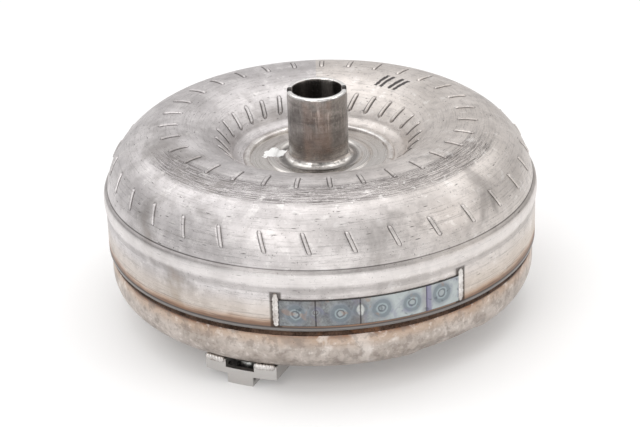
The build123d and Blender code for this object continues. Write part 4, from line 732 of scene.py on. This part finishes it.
def hub_outline():
    outer = [(HOLE_RADIUS - 0.4, 103.5), (HOLE_RADIUS, 103.9), (HOLE_RADIUS, 107.7),
             (HOLE_RADIUS - 0.3, HUB_FLOOR)]
    outer += run((HOLE_RADIUS - 0.3, HUB_FLOOR), (37.0, HUB_FLOOR), 8)[1:]
    outer += [(37.0, HUB_FLOOR), (36.6, 108.5), (36.2, 109.0), (33.0, 109.05), (30.5, 109.0), (30.1, 108.5),
              (29.8, 108.1), (27.5, 108.05), (25.2, 108.3), (24.6, 108.9), (23.4, 109.4), (22.2, 110.2),
              (21.4, 111.3), (HUB_RADIUS, 113.0)]
    outer += run((HUB_RADIUS, 113.0), (HUB_RADIUS, HUB_TOP - 1.2), 30)[1:]
    outer += [(HUB_RADIUS, HUB_TOP - 1.2), (HUB_RADIUS - 0.3, HUB_TOP - 0.5),
              (HUB_RADIUS - 0.9, HUB_TOP - 0.05),
              (HUB_RADIUS - 1.2, HUB_TOP), (HUB_BORE + 0.8, HUB_TOP), (HUB_BORE + 0.15, HUB_TOP - 0.35),
              (HUB_BORE, HUB_TOP - 0.8)]
    outer += run((HUB_BORE, HUB_TOP - 0.8), (HUB_BORE, 103.5), 24)[1:]
    outer += [(HUB_BORE, 103.5)]
    return outer


def hub_piece():
    outline = hub_outline()
    rows = np.array(outline)
    half = np.degrees(np.arcsin(NOTCH_WIDTH / 2 / rows[:, 0]))
    tube = rows[:, 0] < 22
    half = np.where(tube, half, math.degrees(math.asin(NOTCH_WIDTH / 2 / 22)))
    shares = np.linspace(-1, 1, 9)
    columns, cut = [], []
    for side in (90.0, 270.0):
        columns.append(side - half)
        cut.append(0)
        for share in shares:
            columns.append(side + share * half)
            cut.append(1)
        columns.append(side + half)
        cut.append(0)
        for step in np.linspace(0, 1, 58)[1:-1]:
            columns.append(side + half + step * (180 - 2 * half))
            cut.append(0)
    grid = turned_grid(outline, np.array(columns))
    floor = HUB_TOP - NOTCH_DEPTH
    for i, is_cut in enumerate(cut):
        if is_cut:
            grid[i, :, 2] = np.minimum(grid[i, :, 2], floor)
    height = 0.05 * ripple(grid, 1.6) * (rows[None, :, 0] > 23)
    push(grid, outline, height)
    faces = grid_faces(len(columns), len(outline), True)
    return make_piece("impeller_hub_ground", grid.reshape(-1, 3), faces, "ground_steel", ["impeller_hub"])


hub_piece()


def ring_piece(name, outline, columns, slot_name, node, shape=None, waves=0.0):
    """Closed ring turned from an outline; shape(directions, rows) gives a push along the normals."""
    directions = np.linspace(0, 360, columns, endpoint=False)
    grid = turned_grid(outline, directions)
    height = waves * ripple(grid)
    if shape:
        height = height + shape(directions, np.asarray(outline, float))
    push(grid, outline, height)
    return make_piece(name, grid.reshape(-1, 3), grid_faces(columns, len(outline), True), slot_name, [node])


def bead_outline(centre_r, centre_z, half_width, top, bottom, steps=14):
    """Rounded bead: an arched top over a flat underside."""
    points = [(centre_r + half_width * math.cos(a), centre_z + top * math.sin(a))
              for a in np.linspace(0, math.pi, steps + 1)]
    return points + [(centre_r - half_width, centre_z - bottom), (centre_r + half_width, centre_z - bottom)]


WELD_RIPPLE_MM = 1.9


def rippled(depth, radius):
    """Arc-weld ripples: crescents that repeat every couple of millimetres round a bead."""
    def shape(directions, rows):
        along = np.radians(directions)[:, None] * radius
        bow = 0.9 * ((rows[None, :, 0] - rows[:, 0].mean()) / (np.ptp(rows[:, 0]) / 2 + 1e-6)) ** 2
        phase = (along - bow) / WELD_RIPPLE_MM + 0.35 * np.sin(along / 11)
        return depth * (np.abs(np.sin(math.pi * phase)) - 0.6) * (rows[None, :, 1] > rows[:, 1].min() + 0.2)
    return shape


HUB_WELD_RADIUS, HUB_WELD_Z = 50.8, 108.7
ring_piece("hub_weld_bead", bead_outline(HUB_WELD_RADIUS, HUB_WELD_Z, 2.6, 1.8, 2.4), 900, "weld_bead",
           "hub_weld",
           rippled(0.10, HUB_WELD_RADIUS), 0.10)

# Cover --------------------------------------------------------------------------------------

COVER_SHEET = 4.8
LUG_DIRECTIONS = (-24.4, 95.6, 215.6)
FLAT_DEPTH, FLAT_HALF = 1.5, 13.0
COVER_SIDE = COVER_RADIUS - 0.4
CORNER_RADIUS, CORNER_Z = COVER_SIDE - COVER_CORNER, COVER_FACE_Z + COVER_CORNER
SPIGOT_RADIUS, SPIGOT_TOP = 147.8, 60.0


def cover_outline():
    outer = run((20.6, COVER_FACE_Z), (CORNER_RADIUS, COVER_FACE_Z), 44)
    outer += arc(CORNER_RADIUS, CORNER_Z, COVER_CORNER, -90, 0, 26)
    outer += run((COVER_SIDE, CORNER_Z), (149.4, 46.3), 12)[1:]
    outer += [(149.4, 46.3), (148.9, 46.6), (SPIGOT_RADIUS, 46.7)]
    outer += [(SPIGOT_RADIUS, SPIGOT_TOP), (SPIGOT_RADIUS - 3.0, SPIGOT_TOP), (144.6, 34.0)]
    outer += arc(CORNER_RADIUS, CORNER_Z, COVER_CORNER - COVER_SHEET, 0, -90, 8)
    outer += [(20.6, COVER_FACE_Z + COVER_SHEET)]
    return outer


def cover_shape(directions, rows):
    """Three shallow flats pressed into the lower corner between the lugs; ring_piece adds the slight
    unevenness.
    """
    height = np.zeros((len(directions), len(rows)))
    lean = np.degrees(np.arctan2(rows[:, 1] - CORNER_Z, rows[:, 0] - CORNER_RADIUS))
    low = smoothstep(-84, -62, lean) * (1 - smoothstep(-30, -12, lean)) * (rows[:, 0] > CORNER_RADIUS + 1)
    low = low * (np.hypot(rows[:, 0] - CORNER_RADIUS, rows[:, 1] - CORNER_Z) > COVER_CORNER - 1)
    for lug in LUG_DIRECTIONS:
        away = np.abs((directions - lug - 60 + 180) % 360 - 180)
        height -= FLAT_DEPTH * (1 - smoothstep(FLAT_HALF - 5, FLAT_HALF, away))[:, None] * low[None, :]
    return height


ring_piece("front_cover_pressed", cover_outline(), 720, "cover_steel", "front_cover", cover_shape, 0.12)

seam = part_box("closure_weld")
SEAM_LOW, SEAM_HIGH, SEAM_RADIUS = seam[0].z / MM, seam[1].z / MM, seam[1].x / MM


def seam_outline():
    """Sunken bead between the cover and the shell: two runs of weld with a crease between them."""
    middle = (SEAM_LOW + SEAM_HIGH) / 2
    face = [(SEAM_RADIUS - 0.5, SEAM_LOW), (SEAM_RADIUS - 0.1, SEAM_LOW + 0.6),
            (SEAM_RADIUS, SEAM_LOW + 1.3),
            (SEAM_RADIUS - 0.3, middle - 0.3), (SEAM_RADIUS - 0.55, middle + 0.1),
            (SEAM_RADIUS - 0.25, middle + 0.6),
            (SEAM_RADIUS - 0.1, SEAM_HIGH - 1.1), (SEAM_RADIUS - 0.3, SEAM_HIGH - 0.5),
            (SEAM_RADIUS - 0.8, SEAM_HIGH)]
    return face + [(147.8, SEAM_HIGH), (147.8, SEAM_LOW)]


def seam_shape(directions, rows):
    along = np.radians(directions)[:, None] * SEAM_RADIUS
    front = rows[None, :, 0] > 148.2
    phase = math.pi * along / WELD_RIPPLE_MM + 0.8 * np.sin(rows[None, :, 1])
    return 0.16 * (np.abs(np.sin(phase)) - 0.9) * front


ring_piece("closure_weld_rippled", seam_outline(), 2400, "burnt_weld", "closure_weld", seam_shape, 0.10)

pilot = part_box("crankshaft_pilot")
PILOT_BOTTOM, PILOT_TOP, PILOT_RADIUS = pilot[0].z / MM, pilot[1].z / MM, 20.0
PILOT_NECK = 15.0
PILOT_RELIEF, PILOT_RELIEF_Z = 0.4, 13.7


def pilot_piece():
    outline = [(0.05, PILOT_BOTTOM + 3.0), (0.6, PILOT_BOTTOM + 2.9), (3.0, PILOT_BOTTOM + 0.3),
               (3.6, PILOT_BOTTOM)]
    outline += run((3.6, PILOT_BOTTOM), (PILOT_RADIUS - 1.6, PILOT_BOTTOM), 12)[1:]
    outline += [(PILOT_RADIUS - 1.6, PILOT_BOTTOM), (PILOT_RADIUS - 1.0, PILOT_BOTTOM + 0.3),
                (PILOT_RADIUS - 0.2, PILOT_BOTTOM + 1.2), (PILOT_RADIUS, PILOT_BOTTOM + 1.8)]
    outline += run((PILOT_RADIUS, PILOT_BOTTOM + 1.8), (PILOT_RADIUS, PILOT_RELIEF_Z), 10)[1:]
    outline += [(PILOT_RADIUS, PILOT_RELIEF_Z), (PILOT_RADIUS - PILOT_RELIEF, PILOT_RELIEF_Z),
                (PILOT_RADIUS - PILOT_RELIEF, COVER_FACE_Z), (PILOT_NECK, COVER_FACE_Z),
                (PILOT_NECK, PILOT_TOP), (0.05, PILOT_TOP)]
    return ring_piece("crankshaft_pilot_turned", outline, 160, "machined_steel", "crankshaft_pilot")


pilot_piece()
pilot_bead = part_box("pilot_weld")
BEAD_LEG = pilot_bead[1].x / MM - PILOT_RADIUS
ring_piece("pilot_weld_bead",
           [(PILOT_RADIUS - PILOT_RELIEF, COVER_FACE_Z - 3.0), (PILOT_RADIUS + 0.6, COVER_FACE_Z - 2.7),
            (PILOT_RADIUS + 1.8, COVER_FACE_Z - 2.1), (PILOT_RADIUS + 2.7, COVER_FACE_Z - 1.1),
            (PILOT_RADIUS + BEAD_LEG, COVER_FACE_Z + 0.02),
            (PILOT_RADIUS - PILOT_RELIEF, COVER_FACE_Z + 0.02)],
           480, "weld_bead", "pilot_weld", rippled(0.10, PILOT_RADIUS), 0.06)


# Balance strip ------------------------------------------------------------------------------

def swept_strip(outline, start, end, columns, shape, waves):
    """Points and faces of a closed strip swept part of the way round."""
    directions = np.linspace(start, end, columns)
    grid = turned_grid(outline, directions)
    push(grid, outline, waves * ripple(grid, 2.0) + shape(directions, np.asarray(outline, float)))
    return grid.reshape(-1, 3), grid_faces(columns, len(outline), False)


def strip_piece():
    back = SKIRT_RADIUS - 0.02
    outline = run((STRIP_RADIUS, STRIP_LOW + 0.25), (STRIP_RADIUS, STRIP_HIGH - 0.25), 40)
    outline += [(STRIP_RADIUS, STRIP_HIGH - 0.25), (STRIP_RADIUS - 0.25, STRIP_HIGH), (back, STRIP_HIGH),
                (back, STRIP_LOW), (STRIP_RADIUS - 0.25, STRIP_LOW)]

    def shape(directions, rows):
        relief = np.zeros((len(directions), len(rows)))
        for place, middle, size in SPOTS:
            u = (directions - place)[:, None] * STRIP_RADIUS * math.pi / 180
            reach = np.hypot(u, rows[None, :, 1] - middle) / size
            relief -= 0.40 * (1 - smoothstep(0.55, 1.0, reach))
            relief += 0.12 * (smoothstep(0.9, 1.15, reach) - smoothstep(1.15, 1.6, reach))
        for place in JOINTS:
            away = np.abs(directions - place)[:, None] * STRIP_RADIUS * math.pi / 180
            relief = np.minimum(relief, -0.35 * (1 - smoothstep(0.2, 0.5, away)))
        return relief * (rows[None, :, 0] > STRIP_RADIUS - 0.1)

    points, faces = swept_strip(outline, STRIP_START, STRIP_END, 640, shape, 0.03)
    return make_piece("balance_strip_spotted", points, faces, "tinted_steel", ["balance_weight"])


strip_piece()
BEAD_PROUD, BEAD_WIDTH_DEGREES = 1.4, 1.7


def strip_welds():
    """The upright bead at each end of the strip: a domed, rippled blob longer than it is wide."""
    points, faces = [], []
    low, high = STRIP_LOW - 1.0, STRIP_HIGH + 4.5
    for edge, outward in ((STRIP_START, -1), (STRIP_END, 1)):
        middle = edge + outward * BEAD_WIDTH_DEGREES / 2
        rows, columns = 61, 19
        base = len(points)
        for j in range(rows):
            t = j / (rows - 1)
            z = low + t * (high - low)
            end = math.sqrt(max(0.0, 1 - abs(2 * t - 1) ** 5))
            width = (BEAD_WIDTH_DEGREES / 2) * (0.25 + 0.75 * end) * (1 + 0.10 * math.sin(z * 1.7 + edge))
            for i in range(columns):
                s = 2 * i / (columns - 1) - 1
                dome = math.sqrt(max(0.0, 1 - s * s)) * end
                crest = 0.16 * math.sin((z + 2.2 * s * s) * 2 * math.pi / 1.7) * dome
                radius = SKIRT_RADIUS - 0.1 + (BEAD_PROUD - 0.1) * dome + crest
                angle = math.radians(FRONT + middle + s * width)
                points.append((radius * math.cos(angle), radius * math.sin(angle), z))
        for j in range(rows):
            t = j / (rows - 1)
            z = low + t * (high - low)
            for i in range(columns):
                s = 2 * i / (columns - 1) - 1
                angle = math.radians(FRONT + middle + s * (BEAD_WIDTH_DEGREES / 2) * 0.25)
                radius = SKIRT_RADIUS - 0.6
                points.append((radius * math.cos(angle), radius * math.sin(angle), z))
        size = rows * columns
        for j in range(rows - 1):
            for i in range(columns - 1):
                a = base + j * columns + i
                faces.append((a, a + 1, a + columns + 1, a + columns))
                b = a + size
                faces.append((b, b + columns, b + columns + 1, b + 1))
        rim = list(range(columns)) + [j * columns + columns - 1 for j in range(1, rows)]
        rim += [(rows - 1) * columns + i for i in range(columns - 2, -1, -1)]
        rim += [j * columns for j in range(rows - 2, 0, -1)]
        for k, here in enumerate(rim):
            there = rim[(k + 1) % len(rim)]
            faces.append((base + here, base + size + here, base + size + there, base + there))
    return make_piece("balance_strip_welds", points, faces, "weld_bead", ["balance_weight_welds"])


strip_welds()

# Drive lugs ---------------------------------------------------------------------------------

LUG_CIRCLE = 125.0
WING_IN, WING_OUT, WING_HALF, WING_LOW = 106.0, 141.0, 26.0, 7.0
BLOCK_IN, BLOCK_HALF = 112.0, 9.3
WINDOW_OUT, WINDOW_HALF, WINDOW_LOW, FRONT_WALL_TOP = 137.0, 10.4, 9.0, 11.5
POCKET_IN, POCKET_OUT, POCKET_HALF, POCKET_LOW = 115.0, 135.0, 6.8, 3.5
NUT_HOLE = 6.6


def prism(outline, low, high):
    """Upright prism from a plan outline that runs counter-clockwise, in millimetres."""
    count = len(outline)
    points = [(x, y, low) for x, y in outline] + [(x, y, high) for x, y in outline]
    faces = [tuple(reversed(range(count))), tuple(range(count, 2 * count))]
    faces += [(i, (i + 1) % count, (i + 1) % count + count, i + count) for i in range(count)]
    mesh = bpy.data.meshes.new("prism")
    mesh.from_pydata(points, [], faces)
    return bpy.data.objects.new("prism", mesh)


def rectangle(x0, x1, y0, y1):
    return [(x0, y0), (x1, y0), (x1, y1), (x0, y1)]


def disc(x, y, radius, steps=48):
    return [(x + radius * math.cos(a), y + radius * math.sin(a))
            for a in np.linspace(0, 2 * math.pi, steps, endpoint=False)]


def outer_edge(half, steps):
    """Points of the lug's rounded outer edge, between -half and half across."""
    side = math.asin(half / WING_OUT)
    return [(WING_OUT * math.cos(a), WING_OUT * math.sin(a)) for a in np.linspace(-side, side, steps)]


def settle(body, modifiers):
    """Applies modifiers, given as (kind, settings), and returns the resulting mesh."""
    scene_objects = bpy.context.scene.collection.objects
    scene_objects.link(body)
    for kind, settings in modifiers:
        made = body.modifiers.new(kind, kind)
        for key, value in settings.items():
            setattr(made, key, value)
            if key == "object":
                scene_objects.link(value)
    bpy.context.view_layer.update()
    mesh = bpy.data.meshes.new_from_object(body.evaluated_get(bpy.context.evaluated_depsgraph_get()))
    for made in list(body.modifiers):
        if getattr(made, "object", None):
            bpy.data.objects.remove(made.object)
    bpy.data.objects.remove(body)
    return mesh


def lug_mesh():
    """One lug with its radius along +X: wings, block, window and pocket, with softened edges."""
    plan = [(WING_IN, -WING_HALF + 5), (WING_IN + 9, -WING_HALF), *outer_edge(WING_HALF, 25),
            (WING_IN + 9, WING_HALF), (WING_IN, WING_HALF - 5)]
    block = [(BLOCK_IN, -BLOCK_HALF), (137.5, -BLOCK_HALF), *outer_edge(BLOCK_HALF, 11),
             (137.5, BLOCK_HALF), (BLOCK_IN, BLOCK_HALF)]
    cuts = [(rectangle(BLOCK_IN, WINDOW_OUT, -WINDOW_HALF, WINDOW_HALF), WINDOW_LOW, 30),
            (rectangle(WINDOW_OUT - 1, 150, -WINDOW_HALF, WINDOW_HALF), FRONT_WALL_TOP, 31),
            (rectangle(POCKET_IN, POCKET_OUT, -POCKET_HALF, POCKET_HALF), POCKET_LOW, 29),
            (disc(LUG_CIRCLE, 0, NUT_HOLE), -5, 12)]
    body = prism(plan, WING_LOW, COVER_FACE_Z + 0.05)
    join = dict(operation="UNION", solver="EXACT", object=prism(block, 0.02, WING_LOW + 1.0))
    steps = [("BOOLEAN", join)]
    for cut in cuts:
        steps.append(("BOOLEAN", dict(operation="DIFFERENCE", solver="EXACT", object=prism(*cut))))
    steps.append(("BEVEL", dict(width=0.8, segments=3, limit_method="ANGLE",
                                angle_limit=math.radians(40))))
    return settle(body, steps)


def turned_about_axis(points, direction):
    angle = math.radians(FRONT + direction)
    c, s = math.cos(angle), math.sin(angle)
    points = np.asarray(points, float)
    return np.stack([points[:, 0] * c - points[:, 1] * s, points[:, 0] * s + points[:, 1] * c,
                     points[:, 2]], axis=1)


lug = lug_mesh()
lug_points = np.array([v.co for v in lug.vertices])
lug_faces = [tuple(p.vertices) for p in lug.polygons]
for number, direction in enumerate(LUG_DIRECTIONS, 1):
    make_piece(f"drive_lug_{number}_coined", turned_about_axis(lug_points, direction), lug_faces,
               "lug_steel", [f"drive_lug_{number}"], smooth=False)

NUT_BORE, NUT_BODY, NUT_LOW, NUT_HIGH = 4.25, 6.55, 0.3, 12.5
THREAD_PITCH, THREAD_DEPTH = 1.5, 0.6


def nut_grid():
    """Threaded insert: plain outside, and a helical thread inside its bore."""
    columns = 72
    inside = np.arange(NUT_HIGH - 0.3, NUT_LOW + 0.3, -THREAD_PITCH / 8)
    outline = [(NUT_BODY - 0.6, NUT_LOW), (NUT_BODY, NUT_LOW + 0.6), (NUT_BODY, NUT_HIGH - 0.8),
               (NUT_BODY - 0.8, NUT_HIGH), (NUT_BORE + 0.7, NUT_HIGH)]
    first = len(outline)
    outline += [(NUT_BORE, z) for z in inside] + [(NUT_BORE + 0.7, NUT_LOW)]
    grid = turned_grid(outline, np.linspace(0, 360, columns, endpoint=False))
    radius = np.full((columns, len(outline)), 1.0)
    phase = inside[None, :] / THREAD_PITCH + np.arange(columns)[:, None] / columns
    crest = np.abs(phase - np.floor(phase) - 0.5) * 2
    radius[:, first:-1] = 1 + THREAD_DEPTH * crest / NUT_BORE
    grid[:, :, 0] *= radius
    grid[:, :, 1] *= radius
    return grid, grid_faces(columns, len(outline), True)


def nuts_piece():
    grid, one = nut_grid()
    base = grid.reshape(-1, 3) + np.array((LUG_CIRCLE, 0, 0))
    points, faces = [], []
    for direction in LUG_DIRECTIONS:
        faces += [tuple(i + len(points) for i in face) for face in one]
        points += turned_about_axis(base, direction).tolist()
    return make_piece("lug_nuts_threaded", points, faces, "zinc_steel", ["lug_nuts"])


nuts_piece()


def lug_weld_piece():
    """Fillet welds on each wing's outer edge, up to the cover: lumpy and rippled."""
    section = [(135.0, 16.9), (137.5, 14.6), (139.6, 14.1), (141.4, 14.3), (142.8, 15.2), (143.4, 16.6),
               (143.6, 18.2), (143.0, 19.7), (139.0, 17.8)]
    points, faces = [], []
    for direction in LUG_DIRECTIONS:
        for start, end in ((-10.3, -4.5), (4.5, 10.3)):
            directions = np.linspace(direction + start, direction + end, 71)
            grid = turned_grid(section, directions)
            along = np.radians(directions)[:, None] * 141
            lumps = 0.22 * np.sin(2 * math.pi * along / 2.3 + np.arange(len(section))[None, :] * 0.5)
            taper = np.minimum(1, np.minimum(directions - directions[0],
                                             directions[-1] - directions) / 0.8)[:, None]
            height = (0.15 * ripple(grid, 3.0) + lumps) * taper - 1.3 * (1 - taper) ** 2
            push(grid, section, height)
            faces += [tuple(i + len(points) for i in face) for face in grid_faces(71, len(section), False)]
            points += grid.reshape(-1, 3).tolist()
    return make_piece("lug_weld_fillets", points, faces, "weld_bead", ["lug_welds"])


lug_weld_piece()

# Floor, light and camera --------------------------------------------------------------------

floor_mesh = bpy.data.meshes.new("floor")
floor_mesh.from_pydata([(x, y, 0) for x, y in rectangle(-6, 6, -6, 6)], [], [(0, 1, 2, 3)])
floor = bpy.data.objects.new("floor", floor_mesh)
bpy.context.scene.collection.objects.link(floor)
paper = Graph("pale_paper", 0.0)
# The floor glows within half a metre of the middle, fading out by 1.3 metres: painted light round the
# object.
paper.feed(paper.shader.inputs["Emission Color"], (1.0, 1.0, 1.0))
far_from_object = paper.round_place()[0]
paper.feed(paper.shader.inputs["Emission Strength"],
           paper.times(paper.step(far_from_object, 1300.0, 500.0), 0.14))
paper_colour = paper.mix(paper.noise(3.0), (0.80, 0.80, 0.80), (0.84, 0.84, 0.84))
floor_mesh.materials.append(paper.finish(paper_colour, 0.9))

world = bpy.data.worlds.new("studio")
bpy.context.scene.world = world
world.use_nodes = True
tree = world.node_tree
background = tree.nodes["Background"]
place = tree.nodes.new("ShaderNodeTexCoord")
parts = tree.nodes.new("ShaderNodeSeparateXYZ")
tree.links.new(place.outputs["Generated"], parts.inputs[0])


def world_math(operation, a, b):
    made = tree.nodes.new("ShaderNodeMath")
    made.operation = operation
    for socket, value in zip(made.inputs, (a, b)):
        if isinstance(value, bpy.types.NodeSocket):
            tree.links.new(value, socket)
        else:
            socket.default_value = value
    return made.outputs[0]


# Brightest overhead and behind, a little dimmer to the right.
sky = world_math("MULTIPLY", parts.outputs[2], 0.38)
sky = world_math("ADD", sky, world_math("MULTIPLY", parts.outputs[1], 0.22))
sky = world_math("ADD", sky, world_math("MULTIPLY", parts.outputs[0], -0.05))
sky = world_math("MAXIMUM", world_math("ADD", sky, 0.46), 0.12)
tree.links.new(sky, background.inputs["Strength"])
background.inputs["Color"].default_value = (1.0, 0.99, 0.988, 1)


def area(name, place, aim, size, power, colour=(1, 1, 1)):
    light = bpy.data.lights.new(name, "AREA")
    light.shape = "RECTANGLE"
    light.size, light.size_y = size
    light.energy = power
    light.color = colour
    lamp = bpy.data.objects.new(name, light)
    lamp.location = place
    lamp.rotation_euler = (Vector(aim) - Vector(place)).to_track_quat("-Z", "Y").to_euler()
    bpy.context.scene.collection.objects.link(lamp)


area("key_front_left", (-0.7, -1.3, 1.2), (0, 0, 0.08), (1.1, 0.9), 7, (1.0, 0.99, 0.98))
area("fill_right", (1.3, -0.5, 0.7), (0, 0, 0.08), (0.7, 0.9), 3, (1.0, 0.96, 0.92))
area("rim_left", (-1.2, 0.5, 1.3), (0, 0, 0.12), (1.0, 0.8), 3.5)
area("fill_front", (0.1, -1.6, 0.32), (0, 0, 0.06), (1.8, 0.5), 4.5)
area("top", (0.0, 0.1, 1.6), (0, 0, 0.1), (1.6, 1.2), 7)
area("rim_right", (1.2, 0.6, 1.3), (0, 0, 0.12), (1.0, 0.8), 2.5, (1.0, 0.99, 0.97))

ELEVATION, DISTANCE, ROLL = 25.9, 1.5, 2.1
SIDEWAYS, UPWARDS = -0.00143, 0.01486
TARGET = Vector((0, 0, 0.046))
tilt = math.radians(ELEVATION)
eye = Vector((0, -math.cos(tilt), math.sin(tilt)))
facing = (-eye).to_track_quat("-Z", "Y").to_matrix() @ Matrix.Rotation(math.radians(-ROLL), 3, "Z")
camera_data = bpy.data.cameras.new("camera")
camera_data.lens, camera_data.sensor_width = 118.1, 36.0
camera_data.clip_end = 50
camera = bpy.data.objects.new("camera", camera_data)
camera.matrix_world = Matrix.Translation(
    TARGET + DISTANCE * eye + facing @ Vector((SIDEWAYS, UPWARDS, 0))) @ facing.to_4x4()
bpy.context.scene.collection.objects.link(camera)
bpy.context.scene.camera = camera
bpy.context.scene.view_settings.view_transform = "Standard"
